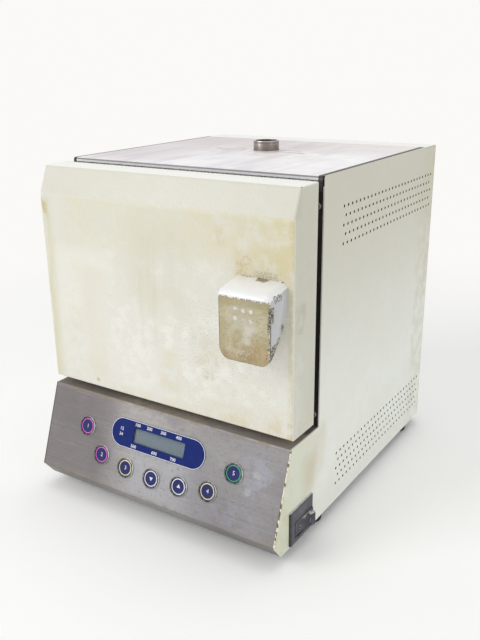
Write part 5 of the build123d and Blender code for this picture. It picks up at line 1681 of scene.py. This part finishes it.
@dataclass
class KeySet(Assembly):
    """The seven keys: a dished cap in a turned ring each, with a printed rim."""

    cap: float = 8.4
    rim: float = 1.35
    proud: float = 1.0
    dish: float = 0.5
    skirt: float = -7.4
    sides: int = 64
    arc_radius: float = 350.0
    arc_pitch: float = 34.8
    arc_low: float = 69.1
    end: tuple[float, float] = (94.4, 37.2)
    triangle: float = 2.5
    number_size: float = 6.0
    print_height: float = 0.12

    def keys(self) -> list[Key]:
        """The keys from left to right.

        Returns:
            One entry for each key.
        """
        prints = ("print_magenta", "print_cream", "print_white", "print_white", "print_cream")
        marks = ("2", "3", Mark.DOWN, Mark.UP, "4")
        arc = []
        for step, (ring, mark) in enumerate(zip(prints, marks)):
            angle = (step - 2) * self.arc_pitch / self.arc_radius
            arc.append(Key(step + 2, self.arc_radius * sin(angle),
                           self.arc_low - self.arc_radius * (1 - cos(angle)), ring, mark))
        first = Key(1, -self.end[0], self.end[1], "print_magenta", "1")
        return [first, *arc, Key(7, self.end[0], self.end[1], "print_green", "5")]

    def build(self) -> None:
        """Models one cap and copies it to each key."""
        floor = self.proud - self.dish
        inner = self.cap - self.rim
        pattern = turned("cap_pattern", [
            (self.cap, self.skirt), (self.cap, self.proud - 0.7), (self.cap - 0.2, self.proud - 0.25),
            (self.cap - 0.6, self.proud - 0.05), (self.cap - 0.8, self.proud),
            (inner + 0.3, self.proud), (inner, self.proud - 0.1), (inner - 0.4, floor),
            (inner * 0.6, floor - 0.12), (inner * 0.25, floor - 0.2), (0.4, floor - 0.2),
        ], self.sides)
        for key in self.keys():
            place = on_slope(key.x, key.down)
            cap = twin(pattern, f"key_cap_{key.number}", place)
            self.coat(smoothed(cap), "cap_navy", key.ring)
            self.paint_rim(cap, place)
            mark = self.mark(key, floor - 0.2)
            self.coat(mark, "print_white")
            whole = merged(cap.name, [cap, mark])
            self.place(whole, f"key_{key.number}", "cap_navy", f"button_cap_{key.number}")
        bpy.data.objects.remove(pattern)

    def paint_rim(self, cap: bpy.types.Object, place: Matrix) -> None:
        """Gives the faces of a cap's raised rim the ring's print.

        Args:
            cap: The cap.
            place: Its placement.
        """
        back = place.inverted()
        for face in cap.data.polygons:
            local = back @ face.center
            rim = (self.cap - self.rim - 0.2) * MM < local.xy.length < (self.cap - 0.3) * MM
            if rim and local.z > (self.proud - 0.3) * MM:
                face.material_index = 1

    def mark(self, key: Key, floor: float) -> bpy.types.Object:
        """A key's printed triangle or number.

        Args:
            key: The key.
            floor: The height of the dish's floor over the slope.

        Returns:
            The print in its place.
        """
        if isinstance(key.mark, Mark):
            bpy.ops.object.select_all(action="DESELECT")
            bpy.ops.mesh.primitive_circle_add(vertices=3, radius=self.triangle * MM, fill_type="NGON")
            mark = named("mark")
            mark.rotation_euler = (0, 0, key.mark.value)
            settle(mark)
            with editing(mark):
                thicken(self.print_height)
        else:
            mark = printed(key.mark, self.number_size, self.print_height)
        return settle(mark, on_slope(key.x, key.down, floor))


@dataclass
class Label(Assembly):
    """The printed film round the display: a stadium with a thin outline and the window in it."""

    width: float = 121.0
    height: float = 30.7
    thickness: float = 0.4
    border: float = 0.3
    line: float = 0.6
    window: tuple[float, float] = (65.4, 15.5)
    window_corner: float = 1.0
    # The numbers' size, thickness and boldness
    numbers: tuple[float, float, float] = (4.7, 0.06, 0.12)
    marks: tuple[tuple[str, float, float], ...] = (
        ("12", -47.0, 3.4), ("34", -47.0, -2.4), ("100", -27.0, 11.2), ("200", -11.5, 11.2),
        ("300", 6.5, 11.2), ("400", 26.0, 11.2), ("500", -28.5, -11.6), ("600", -1.0, -11.6),
        ("700", 23.0, -11.6),
    )

    def build(self) -> None:
        """Models and dresses the film."""
        radius, run = self.height / 2 * MM, (self.width - self.height) / 2
        bpy.ops.object.select_all(action="DESELECT")
        bpy.ops.mesh.primitive_circle_add(vertices=96, radius=radius)
        film = settle(named("label_film"))
        with editing(film):
            for side in (-1, 1):
                slide(film, (side * run, 0, 0), lambda v: v.co.x * side > 1e-6)
            bpy.ops.mesh.select_all(action="SELECT")
            bpy.ops.mesh.edge_face_add()
            thicken(self.thickness)
            bpy.ops.mesh.inset(thickness=self.border * MM)
            bpy.ops.mesh.inset(thickness=self.line * MM)
            face_outward()
        self.coat(film, "label_blue", "print_white")
        for face in film.data.polygons:
            if face.normal.z > 0.9 and face.area < 1e-4:
                face.material_index = 1 if self.on_line(face) else 0
        self.cut_window(film)
        pieces = [settle(film, on_slope(LABEL_X, LABEL_DOWN))]
        for word, x, lift in self.marks:
            mark = printed(word, *self.numbers, fineness=2)
            self.coat(mark, "print_white")
            pieces.append(settle(mark, on_slope(LABEL_X + x, LABEL_DOWN - lift, self.thickness)))
        whole = merged("label_film", pieces)
        self.place(whole, "cabinet", "label_blue", "display_label")

    def on_line(self, face: bpy.types.MeshPolygon) -> bool:
        """Whether a face belongs to the thin outline.

        Args:
            face: A face of the film's top.

        Returns:
            True for the outline's faces.
        """
        x = max(abs(face.center.x) - (self.width - self.height) / 2 * MM, 0.0)
        reach = (x * x + face.center.y ** 2) ** 0.5
        near = self.height / 2 - self.border
        return (near - self.line) * MM < reach < near * MM

    def cut_window(self, film: bpy.types.Object) -> None:
        """Cuts the rounded window out of the film.

        Args:
            film: The film, lying on XY.
        """
        half = Vector((self.window[0] / 2, self.window[1] / 2, 2.0)) * MM
        middle = Vector(((WINDOW_X - LABEL_X) * MM, 0, 0))
        cutter = block("window_cutter", middle - half, middle + half)
        with editing(cutter):
            soften(cutter, self.window_corner, 4, lambda e: span(e).z > 1.0)
        finished(film, "BOOLEAN", operation="DIFFERENCE", object=cutter, solver="EXACT")
        bpy.data.objects.remove(cutter)


@dataclass
class PowerSwitch(Assembly):
    """The rocker of the power switch and the raised lip round its opening."""

    pivot_y: float = -30.5
    pivot_x: float = 148.5
    centre_z: float = 26.5
    height: float = 15.0
    tip_run: float = 14.62
    tip: float = 6.5
    valley: float = 4.2
    depth: float = 6.0
    tilt: float = 12.0
    # Half the run and half the height of the cover's opening
    opening: tuple[float, float] = (16.3, 7.8)
    plate: float = 1.5
    lip_width: float = 1.4
    lip_height: float = 0.9
    face_cuts: int = 15
    hollow_power: float = 1.6
    belly_power: float = 1.2
    # The moulded marks: distance from the middle, the stroke's width and height, the ring's radii
    mark_run: float = 8.1
    stroke: tuple[float, float] = (1.0, 5.0)
    ring_radii: tuple[float, float] = (2.3, 1.6)

    def build(self) -> None:
        """Models and dresses the rocker and the lip."""
        self.rocker()
        self.lip()

    def rocker(self) -> None:
        """The rocker: a block whose outer face is hollowed between its two raised ends."""
        half = self.height / 2
        body = block("rocker_key", Vector((-self.tip_run, -self.depth, -half)) * MM,
                     Vector((self.tip_run, self.tip, half)) * MM)
        with editing(body):
            pick(body, "EDGE", lambda e: span(e).x > 1.0)
            bpy.ops.mesh.subdivide(number_cuts=self.face_cuts)
            columns = sorted({round(v.co.x, 6) for v in bmesh.from_edit_mesh(body.data).verts})
            for x in columns:
                share = abs(x) / (self.tip_run * MM)
                slide(body, (0, (self.valley - self.tip) * (1 - share ** self.hollow_power), 0),
                      lambda v: abs(v.co.x - x) < 1e-5 and v.co.y > 0)
                slide(body, (0, self.depth * share ** self.belly_power * 0.98, 0),
                      lambda v: abs(v.co.x - x) < 1e-5 and v.co.y < 0)
            soften(body, 0.9, 3, self.outer)
        marks = [self.bar(), self.ring()]
        turn = Matrix.Rotation(radians(-90 - self.tilt), 4, "Z") @ Matrix.Scale(-1, 4, (1, 0, 0))
        place = Matrix.Translation(at(self.pivot_x, self.pivot_y, self.centre_z)) @ turn
        self.coat(body, "rocker_black")
        for mark in marks:
            self.coat(mark, "print_grey")
        whole = settle(merged("rocker_key", [body, *marks]), place)
        with editing(whole):
            face_outward()
        self.place(smoothed(whole), "rocker", "switch_black", "power_rocker")

    def outer(self, edge: bmesh.types.BMEdge) -> bool:
        """Whether an edge runs round the rocker's outer face.

        Args:
            edge: The edge.

        Returns:
            True for such an edge.
        """
        ends = [v.co / MM for v in edge.verts]
        outside = all(e.y > self.valley - 0.2 for e in ends)
        rim = all(abs(abs(e.z) - self.height / 2) < 0.01 for e in ends) and span(edge).x > 0.1
        end = all(abs(abs(e.x) - self.tip_run) < 0.01 for e in ends) and span(edge).z > 1.0
        return outside and (rim or end)

    def mark_lift(self) -> float:
        """The height of the hollowed face where the moulded marks stand."""
        return self.valley + (self.tip - self.valley) * 0.42

    def bar(self) -> bpy.types.Object:
        """The moulded stroke on one end.

        Returns:
            The stroke, in the rocker's own measures.
        """
        lift = self.mark_lift()
        wide, high = (size / 2 for size in self.stroke)
        bar = block("bar", Vector((self.mark_run - wide, lift - 0.3, -high)) * MM,
                    Vector((self.mark_run + wide, lift + 0.25, high)) * MM)
        with editing(bar):
            bpy.ops.mesh.select_all(action="SELECT")
            bpy.ops.mesh.bevel(offset=0.12 * MM, segments=1, affect="EDGES")
        return bar

    def ring(self) -> bpy.types.Object:
        """The moulded ring on the other end.

        Returns:
            The ring, in the rocker's own measures.
        """
        lift = self.mark_lift()
        outer, inner = self.ring_radii
        ring = turned("ring", [(outer, -0.3), (outer, 0.22), (inner, 0.22), (inner, -0.3)], 32, joined=True)
        turn = Matrix.Rotation(radians(-90), 4, "X")
        return settle(ring, Matrix.Translation(Vector((-self.mark_run, lift, 0)) * MM) @ turn)

    def lip(self) -> None:
        """The raised lip of the cover plate round the rocker's opening."""
        run, rise = (half + self.lip_width for half in self.opening)
        low = at(HALF_WIDTH + self.plate - 0.1, self.pivot_y - run, self.centre_z - rise)
        high = at(HALF_WIDTH + self.plate + self.lip_height, self.pivot_y + run, self.centre_z + rise)
        lip = block("switch_lip", low, high)
        with editing(lip):
            soften(lip, 2.0, 5, lambda e: span(e).x > 0.5)
            pick(lip, "FACE", lambda f: abs(f.normal.x) > 0.9)
            bpy.ops.mesh.inset(thickness=self.lip_width * MM)
            bpy.ops.mesh.bridge_edge_loops()
            face_outward()
        finished(lip, "BEVEL", width=0.3 * MM, segments=2, limit_method="ANGLE", angle_limit=radians(50))
        self.coat(smoothed(lip), "switch_black")
        self.place(lip, "cabinet", "switch_black")


@dataclass
class Feet(Assembly):
    """Four rubber feet with a moulded groove and a soft lower edge."""

    profile: tuple[tuple[float, float], ...] = (
        (1.7, 12.0), (12.0, 12.0), (12.0, 10.6), (11.5, 10.1), (11.4, 9.4), (11.8, 8.9), (11.55, 6.5),
        (11.0, 1.4), (10.7, 0.6), (10.0, 0.1), (9.2, 0.0), (7.6, 0.0), (7.2, 0.5), (4.6, 0.5), (4.2, 1.5),
        (4.2, 7.5), (1.7, 7.5),
    )
    front: float = 16.0
    rear: float = 252.0
    reach: float = 135.0

    def build(self) -> None:
        """Models one foot and copies it to the four corners."""
        pattern = turned("foot_pattern", self.profile, 48, joined=True)
        feet = [twin(pattern, "foot", Matrix.Translation(at(x, y, 0)))
                for x in (-self.reach, self.reach) for y in (self.front, self.rear)]
        bpy.data.objects.remove(pattern)
        whole = merged("foot_set", feet)
        self.coat(smoothed(whole), "foot_rubber")
        self.place(whole, "cabinet", "foot_rubber", "rubber_feet")


@dataclass
class Flue(Assembly):
    """The flue pipe with its rolled rim, and the collar where it leaves the top plate."""

    outer: float = 14.3
    seat: float = 14.0
    bore: float = 12.3
    low: float = 299.0
    high: float = 368.5
    rim: float = 0.6
    # The groove's distance below the rim, and its depth
    groove: float = 2.8
    groove_depth: float = 0.12

    def build(self) -> None:
        """Models and dresses the pipe."""
        high, rim, neck = self.high, self.rim, self.outer - self.groove_depth
        upper, lower = high - self.groove + 0.4, high - self.groove - 0.4
        pipe = turned("flue_pipe", [
            (self.seat, self.low), (self.seat, TOP_Z - 0.3), (self.outer, TOP_Z),
            (self.outer, lower), (neck, lower + 0.2), (neck, upper - 0.2), (self.outer, upper),
            (self.outer, high - rim), (self.outer - 0.25, high - 0.15),
            (self.outer - rim, high), (self.bore + rim, high), (self.bore + 0.2, high - 0.15),
            (self.bore, high - rim), (self.bore, high - 12), (self.bore, self.low),
        ], 72, joined=True)
        settle(pipe, Matrix.Translation(at(0, FLUE_Y, 0)))
        self.coat(smoothed(pipe), "flue_steel")
        self.place(pipe, "cabinet", "flue_steel", "chimney_pipe")


@dataclass
class Seal(Assembly):
    """The rope seal: four turns of twisted fibre rope round the chamber's mouth."""

    size: tuple[float, float] = (186.0, 136.0)
    width: float = 15.0
    turns: int = 4
    corner: float = 7.0
    strand: float = 0.98
    strands: int = 3
    pitch: float = 11.0
    step: float = 1.7
    centre_y: float = -2.05
    centre_z: float = 239.0

    def build(self) -> None:
        """Models and dresses the seal."""
        rope = self.width / self.turns
        rings = [self.ring(index, rope) for index in range(self.turns)]
        whole = merged("rope_seal", rings)
        centre = Matrix.Translation(at(0, self.centre_y, self.centre_z))
        settle(whole, centre @ Matrix.Rotation(radians(90), 4, "X"))
        with editing(whole):
            face_outward()
        self.coat(smoothed(whole, 60.0), "seal_rope")
        self.place(whole, "cabinet", "seal_rope", "chamber_gasket")

    def ring(self, index: int, rope: float) -> bpy.types.Object:
        """One turn of the rope: three strands twisted round each other.

        Args:
            index: Which turn, from the outside.
            rope: The rope's width.

        Returns:
            The turn, flat on XY.
        """
        inset = (index + 0.5) * rope
        half = [s / 2 - inset for s in self.size]
        corner = max(self.corner - inset, 1.6)
        route = self.route(half, corner)
        length = sum((b - a).length for a, b in zip(route, route[1:] + route[:1]))
        twists = max(round(length / self.pitch), 1)
        strands = []
        for strand in range(self.strands):
            curve = bpy.data.curves.new("strand", "CURVE")
            curve.dimensions, curve.bevel_depth, curve.bevel_resolution = "3D", self.strand * MM, 1
            spline = curve.splines.new("POLY")
            spline.use_cyclic_u = True
            points = self.twisted(route, length, twists, tau * strand / self.strands, rope / 2 - self.strand)
            spline.points.add(len(points) - 1)
            for point, place in zip(spline.points, points):
                point.co = (*(place * MM), 1.0)
            piece = bpy.data.objects.new("strand", curve)
            bpy.context.scene.collection.objects.link(piece)
            focus(piece)
            bpy.ops.object.convert(target="MESH")
            strands.append(named("strand"))
        return merged("rope", strands)

    def route(self, half: Sequence[float], corner: float) -> list[Vector]:
        """The middle line of one turn.

        Args:
            half: Half its width and half its height.
            corner: The radius of its corners.

        Returns:
            A rounded rectangle as evenly stepped points.
        """
        points: list[Vector] = []
        for quarter in range(4):
            sign = ((1, 1), (-1, 1), (-1, -1), (1, -1))[quarter]
            middle = Vector((sign[0] * (half[0] - corner), sign[1] * (half[1] - corner), 0))
            count = max(int(corner * pi / 2 / self.step), 2)
            for part in range(count + 1):
                angle = (quarter + part / count) * pi / 2
                points.append(middle + Vector((cos(angle), sin(angle), 0)) * corner)
            run = 2 * ((half[0] if quarter % 2 == 0 else half[1]) - corner)
            heading = Vector(((-1, 0, 0), (0, -1, 0), (1, 0, 0), (0, 1, 0))[quarter])
            start = points[-1]
            pieces = int(run / self.step)
            points += [start + heading * run * k / pieces for k in range(1, pieces)]
        return points

    def twisted(self, route: list[Vector], length: float, twists: int, phase: float,
                offset: float) -> list[Vector]:
        """A strand's points.

        Args:
            route: The rope's middle line.
            length: Its length.
            twists: How often the strand goes round it.
            phase: The strand's first angle.
            offset: Its distance from the middle line.

        Returns:
            The points.
        """
        points, done = [], 0.0
        for index, place in enumerate(route):
            ahead = route[(index + 1) % len(route)]
            forward = (ahead - route[index - 1]).normalized()
            side = Vector((-forward.y, forward.x, 0.0))
            angle = phase + tau * twists * done / length
            points.append(place + (side * cos(angle) + Vector((0, 0, 1)) * sin(angle)) * offset)
            done += (ahead - place).length
        return points


@dataclass
class Studio:
    """The floor, the soft lamps and the camera at the photograph's place."""

    eye: Point = (444.44, -587.65, 453.92)
    pitch: float = 70.86
    heading: float = 33.18
    roll: float = -0.77
    lens: float = 42.17
    floor_size: float = 14.0
    sky: float = 0.62
    lamps: tuple[tuple[str, Point, float, float], ...] = (
        ("key_lamp", (-1.3, -2.0, 1.5), 1.4, 22.5),
        ("top_lamp", (0.2, 0.2, 2.4), 1.6, 9.0),
        ("side_lamp", (2.3, -0.7, 0.9), 1.6, 5.0),
    )
    room: Colour = field(default_factory=lambda: srgb(250, 249, 247))
    floor_glow: float = 0.045
    # The floor's footprint under the furnace, and the distances where it turns into the room
    footprint: tuple[Point, Point] = ((-150.0, -90.0, 0.0), (150.0, 285.0, 0.0))
    fading: tuple[float, float] = (0.25, 0.9)
    target: Point = (0.0, 90.0, 180.0)

    def build(self) -> None:
        """Makes the floor, the room's light, the lamps and the camera."""
        self.floor()
        self.world()
        for name, place, size, power in self.lamps:
            self.lamp(name, Vector(place), size, power)
        self.camera()

    def floor(self) -> None:
        """A plain pale floor with a faint unevenness."""
        bpy.ops.object.select_all(action="DESELECT")
        bpy.ops.mesh.primitive_plane_add(size=self.floor_size)
        floor = named("floor")
        floor.data.materials.append(bpy.data.materials.new("floor_paint"))
        graph = Graph(floor.active_material)
        tone = graph.mix(graph.grain(Grain.BROAD) * 0.4, srgb(253, 253, 252), srgb(249, 249, 247))
        near = graph.add("ShaderNodeBsdfPrincipled", {}, {
            "Base Color": tone, "Roughness": 0.8, "Emission Color": (1.0, 1.0, 1.0, 1.0),
            "Emission Strength": self.floor_glow})
        far = graph.add("ShaderNodeEmission", {}, {"Color": self.room, "Strength": 1.0})
        away = graph.rise(graph.outside(*self.footprint), *self.fading)
        graph.show(graph.add("ShaderNodeMixShader", {}, {
            0: away * self.seen(graph, "Camera", "Glossy"), 1: near, 2: far}))

    def seen(self, graph: Graph, *rays: str) -> Signal:
        """Where one of some kinds of rays arrives.

        Args:
            graph: The nodes to add to.
            *rays: The kinds, in Light Path's words.

        Returns:
            1 for such a ray.
        """
        found = graph.add("ShaderNodeLightPath", out=f"Is {rays[0]} Ray")
        for ray in rays[1:]:
            found = found | graph.add("ShaderNodeLightPath", out=f"Is {ray} Ray")
        return found

    def world(self) -> None:
        """An even room that the lens and the metal see pale."""
        world = bpy.data.worlds.new("room")
        bpy.context.scene.world = world
        graph = Graph(world)
        light, view = (graph.add("ShaderNodeBackground", {}, {"Color": colour, "Strength": strength})
                       for colour, strength in (((1.0, 1.0, 1.0, 1.0), self.sky), (self.room, 1.0)))
        blend = graph.add("ShaderNodeMixShader", {}, {
            0: self.seen(graph, "Camera", "Glossy", "Transmission"), 1: light, 2: view})
        graph.show(blend, "ShaderNodeOutputWorld")

    def lamp(self, name: str, place: Vector, size: float, power: float) -> None:
        """One soft square lamp, pointed at the furnace.

        Args:
            name: Its name.
            place: Its place, in metres.
            size: Its side, in metres.
            power: Its power, in watts.
        """
        data = bpy.data.lights.new(name, "AREA")
        data.size, data.energy = size, power
        lamp = bpy.data.objects.new(name, data)
        bpy.context.scene.collection.objects.link(lamp)
        lamp.location = place
        lamp.rotation_euler = (at(*self.target) - place).to_track_quat("-Z", "Y").to_euler()

    def camera(self) -> None:
        """The camera where the photograph was taken from."""
        data = bpy.data.cameras.new("camera")
        data.lens, data.sensor_width, data.sensor_fit = self.lens, 36.0, "AUTO"
        camera = bpy.data.objects.new("camera", data)
        bpy.context.scene.collection.objects.link(camera)
        turn = Euler((radians(self.pitch), 0.0, radians(self.heading))).to_matrix()
        turn = turn @ Matrix.Rotation(radians(self.roll), 3, "Z")
        camera.matrix_world = Matrix.Translation(at(*self.eye)) @ turn.to_4x4()
        bpy.context.scene.camera = camera


def dress_solids(paints: dict[str, bpy.types.Material]) -> None:
    """Gives every solid that stays the finish of its slot.

    Args:
        paints: The finishes by name.
    """
    special = {"door_shell": "door_enamel", "door_handle": "handle_enamel"}
    for name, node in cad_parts.items():
        for holder in node.material_slots:
            slot = special.get(name, holder.material.name.split(".")[0])
            holder.material = paints[slot]
    log.info("solids dressed: %d", len(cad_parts))


def main() -> None:
    """Builds the looks in order."""
    logging.basicConfig(level=logging.INFO, format="%(message)s")
    bpy.context.scene.view_settings.view_transform = "Standard"
    paints = finishes()
    dress_solids(paints)
    for assembly in (Door(paints), Handle(paints), KeySet(paints), Label(paints), PowerSwitch(paints),
                     Feet(paints), Flue(paints), Seal(paints)):
        assembly.build()
    Studio().build()


if __name__ == "__main__":
    main()
